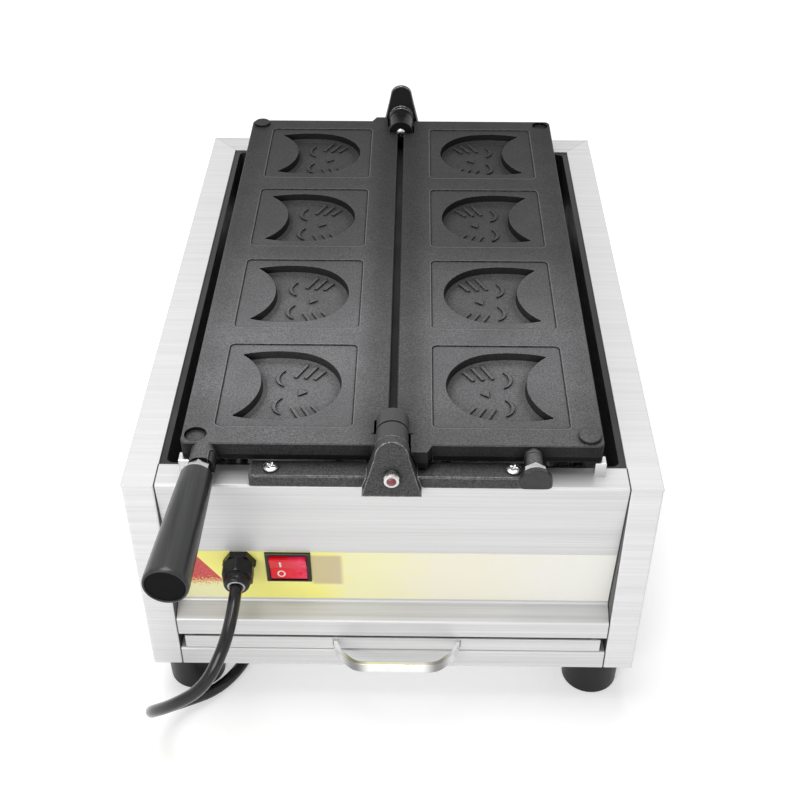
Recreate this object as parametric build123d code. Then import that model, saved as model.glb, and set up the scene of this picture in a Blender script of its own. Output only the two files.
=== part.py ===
from build123d import *
from math import atan2, cos, degrees, hypot, pi, radians, sin, tan
import os

# Shaped waffle maker: a sheet-metal box on four feet carries two cast mould plates, which lie open side
# by side and each fold over onto the other about one long axis. Millimetres. X runs to the right, Y away
# from the front panel, Z up. The model is laid out about the casing's middle with the floor at Z 0, and
# moved at the end so that the origin is the middle of its footprint.

# Casing
casing_width = 350.0
casing_depth = 481.0
casing_height = 177.0
foot_height = 37.0
foot_diameter = 41.5
foot_inset_x = 26.0
foot_inset_y = 25.5
foot_recess = 7.8
foot_recess_depth = 8.0
metal = 1.2
bend = 1.8
seam = 0.2
rim_side = 21.5
rim_front = 20.5
rim_rear = 24.5
panel_fold_drop = 123.4
panel_ledge_drop = 129.6
panel_lean = 14.0
slot_top_drop = 146.0
slot_bottom_drop = 160.5
pan_lip = 12.0
pan_slot = (60.0, 12.0)
pan_slot_x = 60.0
pan_slot_pitch = 40.0
vent_size = (5.0, 34.0)
vent_first = 38.0
vent_pitch = 13.0
vent_margin = 17.0

# Chamber under the plates
chamber_side_gap = 3.5
chamber_end_gap = 2.0
chamber_depth = 50.0
chamber_metal = 1.0
chamber_lip = 7.0
chamber_corner = 6.0
window_margin = 14.0
spine_half = 20.0
rib_half = 12.0
rib_y = 118.0

# Mould plates
plate_lift = 2.4
plate_inner = 2.6
plate_side_gap = 17.5
plate_end_gap = 13.5
plate_thickness = 13.4
parting = 0.2
plate_corner = 4.5
plate_edge = 0.8
cat_shift = 1.7
cat_pitch = 110.0
cat_end_margin = 15.0
recess_size = 90.0
recess_depth = 0.8
recess_corner = 4.0
cat_depth = 7.7
cat_draft = 1.0
cat_step = 5.4
cat_step_width = 2.6
chin_radius = 36.8
chin_centre = -1.0
cheek_angle = 80.0
ear_tip = (-35.5, 33.5)
ear_round = 2.4
brow_depth = 16.4
mark_height = 1.3
mark_width = 2.1
locator_inset_x = 9.0
locator_inset_y = 8.5
locator_radius = 7.0
locator_height = 2.5
locator_play = 0.3

# Hinge
knuckle_radius = 10.6
knuckle_ring = 13.0
knuckle_inset = 24.0
knuckle_gap = 0.4
notch_play = 1.4
pin_radius = 4.0
pin_play = 0.05
horn_inset = 6.5
horn_play = 1.7
horn_width = 10.2
horn_root = 13.7
bar_half_width = 92.0
bar_height = 9.0
bar_depth = 15.4
front_face_inset = 9.9
rear_face_inset = 6.0
pillar_toe_out = 8.5
pillar_crown_inset = 3.0
pillar_foot_half = 19.2
front_pillar_rise = 11.0
rear_pillar_rise = 30.0
front_pillar_round = 11.0
rear_pillar_round = 9.5
pillar_bolt_drop = 11.0
bracket_screw_inset = (14.0, 7.5)
screw_hole = 2.2
rest_pad_inner = 5.0
rest_pad_outer = 2.2
rest_pad_length = 8.0
rest_gap = 0.3

# Lugs and grips
lug_axis_drop = 8.0
left_lug_inset = 15.0
left_lug_half = 8.3
right_lug_inset = 45.4
right_lug_half = 5.75
lug_length = 14.0
stud_radius = 3.0
grip_gap = 20.0
grip_length = 97.0
grip_small = 10.5
grip_large = 14.0
grip_turn = 3.2
grip_bore = 34.0
stub_length = 6.0
stub_drop = 12.3

# Drawer
drawer_side_gap = 4.5
drawer_flange = 4.0
drawer_face_top_drop = 147.4
drawer_face_bottom_drop = 159.0
drawer_rear_gap = 101.0
handle_shift = 3.0
handle_half = 45.6
handle_arm = (41.5, 11.0)
handle_straight = 31.0
handle_reach = 23.2
handle_round = 13.0
handle_top = 0.9
handle_height = 8.0
handle_metal = 2.8
handle_tab = (12.0, 2.0)
runner_gap = 1.0
runner_metal = 1.0
runner_start = 48.5
runner_short = 20.0

# Switch and gland on the leaning panel
switch_inset = 81.7
switch_slope = 84.0
rocker_size = 25.2
rocker_tilt = 8.0
bezel_height = 2.0
switch_wall = 1.6
bezel_lip = 1.4
switch_body_depth = 24.0
gland_inset = 48.5
gland_slope = 78.0
gland_thread = 8.0
gland_hex = 20.0
gland_hex_height = 5.0
gland_cap_length = 18.5
gland_cap_radius = 9.3
band_top = 68.2
band_bottom = 121.0
band_film = 0.3

# Heaters
tube_radius = 4.0
heater_depth = 24.0
heater_inner = 38.0
heater_outer_gap = 32.0
heater_rear_gap = 10.0
heater_tail = 11.0
heater_bush = 7.5

# Cord
cord_radius = 4.2
cord_sides = 8
coil_middle = (-30.0, 334.0)
coil_radius = 54.0
coil_turns = 1.75
coil_pitch = 9.2
coil_layer = 9.0
plug_radius = 18.0
plug_length = 24.0
plug_sleeve = 22.0
pin_length = 19.0

# Places that follow from the sizes above
deck = foot_height + casing_height
side = casing_width / 2
front = -casing_depth / 2
back = casing_depth / 2
foot_x = side - foot_inset_x
foot_y = back - foot_inset_y
axis_z = deck + bar_height + plate_lift + plate_thickness + parting
plate_top = axis_z - parting
plate_bottom = plate_top - plate_thickness
inner_side = side - metal - seam
post_inner = side - rim_side
chamber_front = front + rim_front + chamber_end_gap
chamber_rear = back - rim_rear - chamber_end_gap
chamber_half = post_inner - chamber_side_gap
chamber_floor = deck - chamber_depth
plate_outer = post_inner - plate_side_gap
plate_half_length = back - plate_end_gap
cat_x = (plate_inner + plate_outer) / 2 + cat_shift
cat_count = int((2 * (plate_half_length - cat_end_margin) - recess_size) / cat_pitch) + 1
locator_x = plate_outer - locator_inset_x
locator_y = plate_half_length - locator_inset_y
knuckle_start = plate_half_length - knuckle_inset
horn_reach = back - horn_inset
horn_inner = knuckle_radius + horn_play
front_pillar_face = back - front_face_inset
rear_pillar_face = back - rear_face_inset
pillar_toe = back + pillar_toe_out
pillar_crown = back - pillar_crown_inset
bracket_screw_x = bar_half_width - bracket_screw_inset[0]
bracket_screw_y = back - bracket_screw_inset[1]
left_lug_x = left_lug_inset - plate_outer
right_lug_x = plate_outer - right_lug_inset
lug_z = axis_z - lug_axis_drop
drawer_half = post_inner - drawer_side_gap
drawer_tray_half = drawer_half - drawer_flange
drawer_length = casing_depth - drawer_rear_gap
runner_half = drawer_half + runner_gap
runner_length = drawer_length - runner_short
switch_x = switch_inset - post_inner
switch_body = rocker_size + 2 * switch_wall
bezel_size = switch_body + 2 * bezel_lip
gland_x = gland_inset - post_inner
heater_outer = plate_outer - heater_outer_gap
heater_turn = (heater_outer - heater_inner) / 2
heater_z = deck - heater_depth
heater_rear = chamber_rear - heater_rear_gap - heater_turn
heater_front = chamber_front - heater_tail
vent_count = int((inner_side - vent_first - vent_margin) / vent_pitch) + 1
solids = {}


def block(x, y, z):
    """A box between two values on each axis."""
    middle = ((x[0] + x[1]) / 2, (y[0] + y[1]) / 2, (z[0] + z[1]) / 2)
    return Pos(*middle) * Box(abs(x[1] - x[0]), abs(y[1] - y[0]), abs(z[1] - z[0]))


def rod(radius, start, end):
    """A round bar from one point to another."""
    along = Vector(*end) - Vector(*start)
    return extrude(Plane(Vector(*start), z_dir=along) * Circle(radius), along.length)


def hexagon(across, start, end):
    """A hexagonal bar, its size across flats."""
    along = Vector(*end) - Vector(*start)
    outline = RegularPolygon(across / 2, 6, major_radius=False)
    return extrude(Plane(Vector(*start), z_dir=along) * outline, along.length)


def folded(points, plane, depth, thickness=metal, corner=bend):
    """Sheet folded along a polyline: its thickness left of the line, its length along the plane's normal."""
    wire = FilletPolyline(*points, radius=corner) if len(points) > 2 else Polyline(*points)
    outline = offset(wire, amount=thickness, side=Side.LEFT, closed=True)
    return extrude(plane * make_face(outline), depth)


def side_panel(hand):
    """One side with its top flange, its front post with the return beside the panel, and a rear lip."""
    plan = [(front + bend + 13, post_inner), (front, post_inner), (front, side), (back - metal - seam, side),
            (back - metal - seam, side - 12)]
    upright = Plane(origin=(0, 0, foot_height), x_dir=(0, 1, 0), z_dir=(0, 0, 1))
    shell = folded([(y, -x) for y, x in plan], upright, casing_height - metal)
    top = block((post_inner, side), (front, back), (deck - metal, deck))
    mitre = Polyline((post_inner - 1, back - rim_rear), (post_inner, back - rim_rear), (side, back),
                     (side + 1, back + 1), (post_inner - 1, back + 1), close=True)
    top -= extrude(Pos(0, 0, deck - 2 * metal) * make_face(mitre), 3 * metal)
    panel = shell + top
    above_pan = (foot_height - 1, foot_height + metal + seam)
    panel -= block((post_inner - 1, side - metal - 0.01), (front + metal + 0.01, back), above_pan)
    under_flange = (deck - metal - 3, deck - metal - 0.01)
    panel -= block((side - 14, side - metal - 0.01), (back - 3 * metal, back), under_flange)
    return panel if hand > 0 else mirror(panel, Plane.YZ)


def panel_plane():
    """The leaning face: origin at the top fold, X to the right, Y up the slope, normal outward."""
    length = hypot(panel_fold_drop, panel_lean)
    return Plane(origin=(0, front, deck), x_dir=(1, 0, 0),
                 z_dir=(0, -panel_fold_drop / length, -panel_lean / length))


def on_panel(x, slope, out=0.0):
    """A point given by its place across the panel, its distance down the slope and its height off it."""
    return panel_plane().from_local_coords(Vector(x, -slope, out))


def screw_bore(hand, sign):
    """Cutter for a bracket screw's hole in the casing's rim."""
    x = hand * bracket_screw_x
    y = sign * bracket_screw_y
    return rod(screw_hole, (x, y, deck - 3), (x, y, deck + 1))


def front_panel():
    """Top flange, leaning face, ledge and drip edge, in one folded sheet."""
    half = post_inner - seam
    line = [(front + rim_front, deck), (front, deck), (front + panel_lean, deck - panel_fold_drop),
            (front, deck - panel_ledge_drop), (front, deck - slot_top_drop),
            (front + 12, deck - slot_top_drop)]
    plane = Plane(origin=(-half, 0, 0), x_dir=(0, 1, 0), z_dir=(1, 0, 0))
    sheet = folded(line, plane, 2 * half)
    face = panel_plane()
    sheet -= extrude(face * Pos(switch_x, -switch_slope, 0) * Rectangle(switch_body + 0.4, switch_body + 0.4),
                     3 * metal, both=True)
    sheet -= extrude(face * Pos(gland_x, -gland_slope, 0) * Circle(gland_thread + 0.3), 3 * metal, both=True)
    for hand in (-1, 1):
        sheet -= screw_bore(hand, -1)
    return sheet


def lower_rail():
    """The rail under the drawer slot."""
    half = post_inner - seam
    line = [(front + 15, deck - slot_bottom_drop), (front, deck - slot_bottom_drop), (front, foot_height)]
    plane = Plane(origin=(-half, 0, 0), x_dir=(0, 1, 0), z_dir=(1, 0, 0))
    return folded(line, plane, 2 * half)


def rear_panel():
    """Back sheet with its mitred top flange and two rows of vents."""
    line = [(back, foot_height), (back, deck), (back - rim_rear, deck)]
    plane = Plane(origin=(-inner_side, 0, 0), x_dir=(0, 1, 0), z_dir=(1, 0, 0))
    sheet = folded(line, plane, 2 * inner_side)
    middle = deck - casing_height / 2
    rows = (middle - vent_size[1] / 2, middle + vent_size[1] / 2)
    for hand in (-1, 1):
        inner = hand * (post_inner - seam)
        near = back - rim_rear
        corner = Polyline((inner, near - 1), (inner, near), (hand * (side - seam), back),
                          (hand * (side + 1), back), (hand * (side + 1), near - 1), close=True)
        sheet -= extrude(Pos(0, 0, deck - metal) * make_face(corner), metal + 1)
        sheet -= screw_bore(hand, 1)
        for step in range(vent_count):
            x = hand * (vent_first + step * vent_pitch)
            sheet -= block((x - vent_size[0] / 2, x + vent_size[0] / 2), (back - 2 * metal, back + 1), rows)
    return sheet


def base_pan():
    """Shallow tray that closes the casing below, with upturned lips and a patch of slots."""
    half = inner_side
    rear = back - 2 * metal - 2 * seam - 1
    near = front + metal + 0.1
    pan = block((-half, half), (near, rear), (foot_height, foot_height + pan_lip))
    pan -= block((-half + metal, half - metal), (near + metal, rear - metal), (foot_height + metal, deck))
    for hand in (-1, 1):
        post = (hand * (post_inner - metal - seam - 1), hand * side)
        pan -= block(post, (near - 1, near + metal + 0.01), (foot_height + metal, deck))
        for end in (-1, 1):
            spot = (hand * foot_x, end * foot_y)
            pan -= rod(4.3, (*spot, foot_height - 1), (*spot, foot_height + 3))
        across = (hand * pan_slot_x - pan_slot[0] / 2, hand * pan_slot_x + pan_slot[0] / 2)
        for step in (-1, 0, 1):
            low = step * pan_slot_pitch - pan_slot[1] / 2
            pan -= block(across, (low, low + pan_slot[1]), (foot_height - 1, foot_height + 3))
    return pan


def foot():
    """Tapered rubber foot with a bevelled rim and a recess for its screw, standing at the origin."""
    body = extrude(Pos(0, 0, foot_height) * Circle(foot_diameter / 2), -foot_height, taper=0.6)
    body = chamfer(body.edges().sort_by(Axis.Z)[0], 1.5)
    body -= rod(foot_recess, (0, 0, -1), (0, 0, foot_recess_depth))
    return body - rod(4.3, (0, 0, foot_recess_depth - 1), (0, 0, foot_height + 1))


def foot_screw():
    """Hexagon bolt up through the foot and the pan, with its nut."""
    seat = foot_recess_depth - rest_gap
    bolt = hexagon(13, (0, 0, seat - 5.3), (0, 0, seat)) + rod(4, (0, 0, seat - 1), (0, 0, foot_height + 10))
    nut = hexagon(13, (0, 0, foot_height + metal + 0.1), (0, 0, foot_height + metal + 6.6))
    return [bolt, nut - rod(4.1, (0, 0, foot_height), (0, 0, foot_height + 12))]


def chamber_liner():
    """Open pan under the plates, with a lip under the casing's rim and windows that crumbs fall through."""
    x = chamber_half
    lip_top = deck - metal - 0.1
    outer = block((-x, x), (chamber_front, chamber_rear), (chamber_floor, lip_top))
    outer = fillet(outer.edges().filter_by(Axis.Z), chamber_corner)
    lip_x = x + chamber_lip + 3
    lip = block((-lip_x, lip_x), (chamber_front - chamber_lip, chamber_rear + chamber_lip),
                (lip_top - chamber_metal, lip_top))
    wall = chamber_metal
    along = (chamber_front + wall, chamber_rear - wall)
    inner = block((-x + wall, x - wall), along, (chamber_floor + wall, deck))
    pan = outer + lip - fillet(inner.edges().filter_by(Axis.Z), chamber_corner - chamber_metal)
    through = (chamber_floor - 1, chamber_floor + chamber_metal + 1)
    for hand in (-1, 1):
        for low, high in window_rows():
            pan -= block((hand * spine_half, hand * (x - window_margin)), (low, high), through)
        for run in (heater_inner, heater_outer):
            middle = hand * run
            hole = tube_radius + 0.4
            pan -= rod(hole, (middle, chamber_front - 2, heater_z), (middle, chamber_front + 3, heater_z))
    return pan


def window_rows():
    """The three stretches of the chamber's floor between its ends and its ribs, as (near, far) along Y."""
    near = chamber_front + window_margin
    far = chamber_rear - window_margin
    return [(near, -rib_y - rib_half), (-rib_y + rib_half, rib_y - rib_half), (rib_y + rib_half, far)]


def centre_beam():
    """Hat-shaped beam under the gap between the plates, its ends on the casing's rim."""
    line = [(-9, deck - 10), (-4.5, deck - 10), (-4.5, deck + 8), (4.5, deck + 8), (4.5, deck - 10),
            (9, deck - 10)]
    plane = Plane(origin=(0, chamber_front + 1.2, 0), x_dir=(-1, 0, 0), z_dir=(0, 1, 0))
    hat = folded([(-x, z) for x, z in line], plane, chamber_rear - chamber_front - 2.4, corner=1.4)
    start = front + bar_depth + 0.3
    end = back - bar_depth - 0.3
    hat += block((-4.3, 4.3), (start, chamber_front + 3), (deck + 4.0, deck + 8))
    hat += block((-4.3, 4.3), (chamber_rear - 3, end), (deck + 4.0, deck + 8))
    hat += block((-4.3, 4.3), (start, front + rim_front), (deck + 0.1, deck + 5))
    return hat + block((-4.3, 4.3), (back - rim_rear, end), (deck + 0.1, deck + 5))


def circle_meet(centre_a, radius_a, centre_b, radius_b, upper=True):
    """The upper point where two circles in a plane meet."""
    dx = centre_b[0] - centre_a[0]
    dy = centre_b[1] - centre_a[1]
    apart = hypot(dx, dy)
    along = (radius_a ** 2 - radius_b ** 2 + apart ** 2) / (2 * apart)
    off = (radius_a ** 2 - along ** 2) ** 0.5
    spots = [(centre_a[0] + along * dx / apart + sign * off * dy / apart,
              centre_a[1] + along * dy / apart - sign * off * dx / apart) for sign in (-1, 1)]
    return max(spots, key=lambda spot: spot[1]) if upper else min(spots, key=lambda spot: spot[1])


def cat_outline(height, inset):
    """The cat's head drawn inset from its rim: chin, two cheeks, two rounded ear tips and the brow between.

    The cheek's circle touches the chin's at cheek_angle and passes through the ear tip, and the brow's
    circle passes through both tips and the brow's deepest point. Each offset only changes the radii.
    """
    cheek = radians(cheek_angle)
    normal = (cos(cheek), sin(cheek))
    join = (chin_centre + chin_radius * normal[0], chin_radius * normal[1])
    to_tip = (ear_tip[0] - join[0], ear_tip[1] - join[1])
    cheek_radius = -(to_tip[0] ** 2 + to_tip[1] ** 2) / (2 * (to_tip[0] * normal[0] + to_tip[1] * normal[1]))
    cheek_centre = (join[0] - cheek_radius * normal[0], join[1] - cheek_radius * normal[1])
    brow_radius = (ear_tip[1] ** 2 + brow_depth ** 2) / (2 * brow_depth)
    brow_centre = (ear_tip[0] + brow_depth - brow_radius, 0.0)
    tip = circle_meet(cheek_centre, cheek_radius - inset, brow_centre, brow_radius + inset)

    def on_cheek(angle):
        reach = cheek_radius - inset
        return Vector(cheek_centre[0] + reach * cos(angle), cheek_centre[1] + reach * sin(angle), height)

    def on_brow(angle):
        reach = brow_radius + inset
        return Vector(brow_centre[0] + reach * cos(angle), brow_centre[1] + reach * sin(angle), height)

    cheek_end = atan2(tip[1] - cheek_centre[1], tip[0] - cheek_centre[0]) - ear_round / cheek_radius
    brow_end = atan2(tip[1], tip[0] - brow_centre[0]) - ear_round / brow_radius
    start = on_cheek(cheek)
    ear_side = on_cheek(cheek_end)
    ear_brow = on_brow(brow_end)
    crown = (ear_side + ear_brow) * 0.25 + Vector(tip[0], tip[1], height) * 0.5

    def flip(point):
        return Vector(point.X, -point.Y, point.Z)

    chin = Vector(chin_centre + chin_radius - inset, 0, height)
    middle = on_cheek((cheek + cheek_end) / 2)
    return Wire([
        ThreePointArc(start, middle, ear_side), ThreePointArc(ear_side, crown, ear_brow),
        ThreePointArc(ear_brow, on_brow(0), flip(ear_brow)),
        ThreePointArc(flip(ear_brow), flip(crown), flip(ear_side)),
        ThreePointArc(flip(ear_side), flip(middle), flip(start)), ThreePointArc(flip(start), chin, start)])


def face_marks():
    """Raised marks on the floor of the cat: two curved eyes, a nose and three whiskers a side."""
    rise = mark_height + 0.5
    marks = extrude(make_face(Polyline((6.2, 3.7), (12.2, 0), (6.2, -3.7), close=True)), rise)
    half = mark_width / 2
    whiskers = (((3.2, 17.2), (9.6, 29.6)), ((10.1, 16.2), (16.4, 27.6)), ((16.8, 15.2), (22.6, 23.6)))
    for hand in (-1, 1):
        outer = ThreePointArc((-5.2 + half, hand * 6.4), (-9.3 - half, hand * 15), (-5.3 + half, hand * 23.8))
        inner = ThreePointArc((-5.3 + half, hand * 23.8), (-9.3 + half, hand * 15), (-5.2 + half, hand * 6.4))
        marks += extrude(make_face([outer, inner]), rise)
        for root, tip in whiskers:
            way = Vector(tip[0] - root[0], tip[1] - root[1])
            middle = Pos((root[0] + tip[0]) / 2, hand * (root[1] + tip[1]) / 2)
            spot = middle * Rot(0, 0, hand * degrees(atan2(way.Y, way.X)))
            marks += extrude(spot * Rectangle(way.length + mark_width, mark_width), rise)
    return marks


def cat_cutter():
    """What one mould takes out of the plate, its chin towards +X and its rim at height zero."""
    inner = cat_draft * 1.0
    rim = cat_outline(0, 0)
    step = cat_outline(-cat_step, inner)
    floor = cat_outline(-cat_depth, inner + cat_step_width)
    cutter = Solid.make_loft([cat_outline(1, 0), rim], ruled=True) + Solid.make_loft([rim, step], ruled=True)
    cutter += Solid.make_loft([step, floor], ruled=True)
    return cutter - Pos(0, 0, -cat_depth - 0.5) * face_marks()


def cat_places(hand):
    """Where the four moulds of a plate stand, and the way that they face: chins to the hinge."""
    for step in range(cat_count):
        y = (step - (cat_count - 1) / 2) * cat_pitch
        yield Pos(hand * cat_x, y, plate_top - recess_depth) * Rot(0, 0, 0 if hand < 0 else 180)


def knuckles(hand):
    """The two rings of a plate as (near end, far end) along Y. The left plate has the outer ring in front."""
    inner = (knuckle_start, knuckle_start + knuckle_ring)
    outer = (inner[1] + knuckle_gap, inner[1] + knuckle_gap + knuckle_ring + knuckle_gap)
    outer_sign = hand
    return [tuple(outer_sign * y for y in outer), tuple(-outer_sign * y for y in inner)]


def mould_plate(hand, cutter):
    """Cast plate: four moulds, two knuckles, clearance for the other plate's, a horn, locators and a lug."""
    x = (hand * plate_inner, hand * plate_outer)
    plate = block(x, (-plate_half_length, plate_half_length), (plate_bottom, plate_top))
    outer_edges = plate.edges().filter_by(Axis.Z).sort_by(Axis.X)
    plate = fillet(outer_edges[:2] if hand < 0 else outer_edges[-2:], plate_corner)
    plate = chamfer(plate.faces().sort_by(Axis.Z)[-1].edges(), plate_edge)
    own = knuckles(hand)
    for near, far in knuckles(-hand):
        low, high = sorted((near, far))
        grown = (low - 0.4, high + 0.4)
        if abs(low) > plate_half_length - 1 or abs(high) > plate_half_length - 1:
            grown = (grown[0] - 6, grown[1]) if low < 0 else (grown[0], grown[1] + 6)
        notch = hand * (knuckle_radius + notch_play)
        plate -= block((0, notch), grown, (plate_bottom - 1, plate_top + 1))
    horn_sign = hand * -1
    root = hand * (horn_inner + horn_root)
    near = horn_sign * (plate_half_length - 3)
    far = horn_sign * horn_reach
    inner = hand * horn_inner
    horn = Polyline((inner, near), (inner, far), (hand * (horn_inner + horn_width), far),
                    (root, horn_sign * plate_half_length), (root, near), close=True)
    horn = extrude(Pos(0, 0, plate_bottom) * make_face(horn), plate_thickness)
    past = hand * (horn_inner - 3)
    flare = Polyline((past, plate_bottom - 1), (hand * (horn_inner + 5.2), plate_bottom - 1),
                     (inner, plate_top - 1), (past, plate_top - 1), close=True)
    relief = extrude(Plane.XZ * make_face(flare), casing_depth, both=True)
    past_end = (horn_sign * (plate_half_length + 0.5), horn_sign * (back + 20))
    relief &= block((0, hand * 30), past_end, (0, 2 * deck))
    plate += horn - relief
    for near, far in own:
        plate += rod(knuckle_radius, (0, near, axis_z), (0, far, axis_z))
        edge = sorted((near, far))
        plate -= rod(pin_radius + pin_play, (0, edge[0] - 1, axis_z), (0, edge[1] + 1, axis_z))
    for place in cat_places(hand):
        spot = place.position
        pocket = Pos(spot.X, spot.Y, plate_top) * Box(recess_size, recess_size, 2 * recess_depth)
        plate -= fillet(pocket.edges().filter_by(Axis.Z), recess_corner)
        plate -= place * cutter
    raised = (hand * locator_x, -hand * locator_y)
    hollow = (hand * locator_x, hand * locator_y)
    disc = rod(locator_radius, (*raised, plate_top - 1), (*raised, plate_top + locator_height))
    plate += chamfer(disc.faces().sort_by(Axis.Z)[-1].edges(), 0.6)
    hollow_floor = plate_top - locator_height - 0.5
    plate -= rod(locator_radius + locator_play, (*hollow, hollow_floor), (*hollow, plate_top + 1))
    return plate + lug(hand)


def lug(hand):
    """Arched lug at the plate's front end, bored for the grip's stud."""
    centre, half = (left_lug_x, left_lug_half) if hand < 0 else (right_lug_x, right_lug_half)
    start = (centre, -plate_half_length + 1, lug_z)
    end = (centre, -plate_half_length - lug_length, lug_z)
    arch = rod(half, start, end)
    arch += block((centre - half, centre + half), (end[1], start[1]), (plate_bottom + 0.6, lug_z))
    arch &= block((centre - 20, centre + 20), (end[1], start[1]), (plate_bottom + 0.6, plate_top))
    return arch - rod(stud_radius + 0.1, stud_point(hand, -6), stud_point(hand, 2 + lug_length))


def stud_point(hand, reach):
    """A point on a grip's axis, reach mm out from the plate's front end."""
    centre = left_lug_x if hand < 0 else right_lug_x
    turn = radians(grip_turn) if hand < 0 else 0.0
    return (centre - sin(turn) * reach, -plate_half_length - cos(turn) * reach, lug_z)


def pillar(face, crown_rise, crown_round, sign):
    """Upright of a bracket: flared to its foot, round at its crown, its outer face sloping to a toe."""
    top = axis_z + crown_rise - crown_round
    outline = Polyline((-pillar_foot_half, deck), (-crown_round, top), (crown_round, top),
                       (pillar_foot_half, deck), close=True)
    shape = make_face(outline) + Pos(0, top) * Circle(crown_round)
    upright = extrude(Plane.XZ * shape, 300, both=True)
    crown = axis_z + crown_rise
    profile = Polyline((sign * face, deck), (sign * pillar_toe, deck), (sign * pillar_crown, crown),
                       (sign * face, crown), close=True)
    return upright & extrude(Plane.YZ * make_face(profile), 40, both=True)


def bracket(sign):
    """Hinge bracket: a bar along the casing's rim and a pillar that holds the pin."""
    edge = sign * back
    face = front_pillar_face if sign < 0 else rear_pillar_face
    rise = front_pillar_rise if sign < 0 else rear_pillar_rise
    crown = front_pillar_round if sign < 0 else rear_pillar_round
    rows = (edge, edge - sign * bar_depth)
    bar = block((-bar_half_width, bar_half_width), rows, (deck + 0.05, deck + bar_height))
    bar = fillet(bar.edges().filter_by(Axis.Z), 2.0)
    bar = chamfer(bar.faces().sort_by(Axis.Z)[-1].edges(), 0.8)
    body = bar + pillar(face, rise, crown, sign)
    if sign > 0:
        body += rod(knuckle_radius, (0, front_pillar_face, axis_z), (0, rear_pillar_face + 1, axis_z))
    pin_bore = pin_radius + pin_play
    bore_start = sign * (front_pillar_face - 1)
    body -= rod(pin_bore, (0, bore_start, axis_z), (0, sign * (pillar_crown + 0.5), axis_z))
    bolt_z = axis_z - pillar_bolt_drop
    body -= rod(3.1, (0, sign * (face + 1.4), bolt_z), (0, sign * (back + 20), bolt_z))
    for hand in (-1, 1):
        spot = (hand * bracket_screw_x, sign * bracket_screw_y)
        body -= rod(screw_hole, (*spot, deck - 1), (*spot, deck + bar_height + 1))
    return body


def bracket_screw(x, y):
    """Pan-head screw down through a bar and the rim, with a nut below."""
    top = deck + bar_height
    head = rod(4.6, (x, y, top + 0.05), (x, y, top + 2.7))
    head = chamfer(head.faces().sort_by(Axis.Z)[-1].edges(), 0.9)
    screw = head + rod(2.0, (x, y, deck - 7), (x, y, top + 1))
    nut = hexagon(7, (x, y, deck - metal - 3.3), (x, y, deck - metal - 0.1))
    return [screw, nut - rod(2.1, (x, y, deck - 8), (x, y, deck))]


def pillar_bolt(sign):
    """Hexagon bolt square to the pillar's sloping face, down on its low side."""
    z = axis_z - pillar_bolt_drop
    rise = front_pillar_rise if sign < 0 else rear_pillar_rise
    slope = (pillar_toe - pillar_crown) / (axis_z - deck + rise)
    seat = pillar_toe - slope * (z - 5.4 - deck) + 0.1
    face = front_pillar_face if sign < 0 else rear_pillar_face
    head = hexagon(10, (0, sign * seat, z), (0, sign * (seat + 4.2), z))
    return head + rod(3.0, (0, sign * (face + 1.6), z), (0, sign * (seat + 1), z))


def hinge_pin(sign):
    """Pin through both knuckles at one end, held in the pillar."""
    start = (0, sign * (knuckle_start + 0.4), axis_z)
    pin = rod(pin_radius, start, (0, sign * (pillar_crown + 0.3), axis_z))
    return chamfer(pin.edges().filter_by(GeomType.CIRCLE), 0.6)


def rest_pad(hand, sign):
    """Metal block on the rim that a plate's outer corner comes down on."""
    x = (hand * (plate_outer - rest_pad_inner), hand * (plate_outer + rest_pad_outer))
    start = front + rim_front - 0.4 if sign < 0 else back - rim_rear + 0.4
    pad = block(x, (start, start + sign * rest_pad_length), (deck + 0.05, plate_bottom - rest_gap))
    return chamfer(pad.faces().sort_by(Axis.Z)[-1].edges(), 0.5)


def grip(hand):
    """Handle turned about its stud: swelling to a rounded end on the left, a short stub on the right."""
    start = stud_point(hand, grip_gap / (cos(radians(grip_turn)) if hand < 0 else 1))
    ahead = Vector(*stud_point(hand, 60)) - Vector(*stud_point(hand, 40))
    frame = Plane(start, x_dir=(0, 0, 1), z_dir=ahead)
    if hand < 0:
        half = make_face(Polyline((0, 0), (grip_small - 1, 0), (grip_small, 1), (grip_small + 0.5, 12),
                                  (grip_large, grip_length - 6), (grip_large - 0.4, grip_length - 2.2),
                                  (grip_large - 2.2, grip_length), (0, grip_length), close=True))
        body = revolve(Plane.XZ * half, Axis.Z)
        body -= extrude(Pos(0, 0, grip_length - 0.8) * Circle(grip_large - 3.6), 2)
    else:
        foot = Pos(-stub_drop / 2, 0) * Rectangle(stub_drop, 2 * grip_small)
        foot = fillet(foot.vertices().sort_by(Axis.X)[:2], 4)
        body = extrude(foot + Circle(grip_small), stub_length)
        body = chamfer(body.faces().sort_by(Axis.Z)[-1].edges(), 0.8)
    body = frame * body
    return body - rod(stud_radius + 0.1, stud_point(hand, 15), stud_point(hand, stud_end(hand) + 0.2))


def stud_end(hand):
    """How far a stud reaches from the plate's front end."""
    return grip_bore if hand < 0 else grip_gap + stub_length - 2


def grip_stud(hand):
    """Threaded stud from the lug into the grip."""
    return rod(stud_radius, stud_point(hand, 2.0), stud_point(hand, stud_end(hand)))


def grip_nut(hand):
    """Lock nut between the lug and the grip."""
    across = 2 * stud_radius + 4
    nut = hexagon(across, stud_point(hand, lug_length + 0.5), stud_point(hand, lug_length + 5.5))
    return nut - rod(stud_radius + 0.1, stud_point(hand, 10), stud_point(hand, 24))


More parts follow.
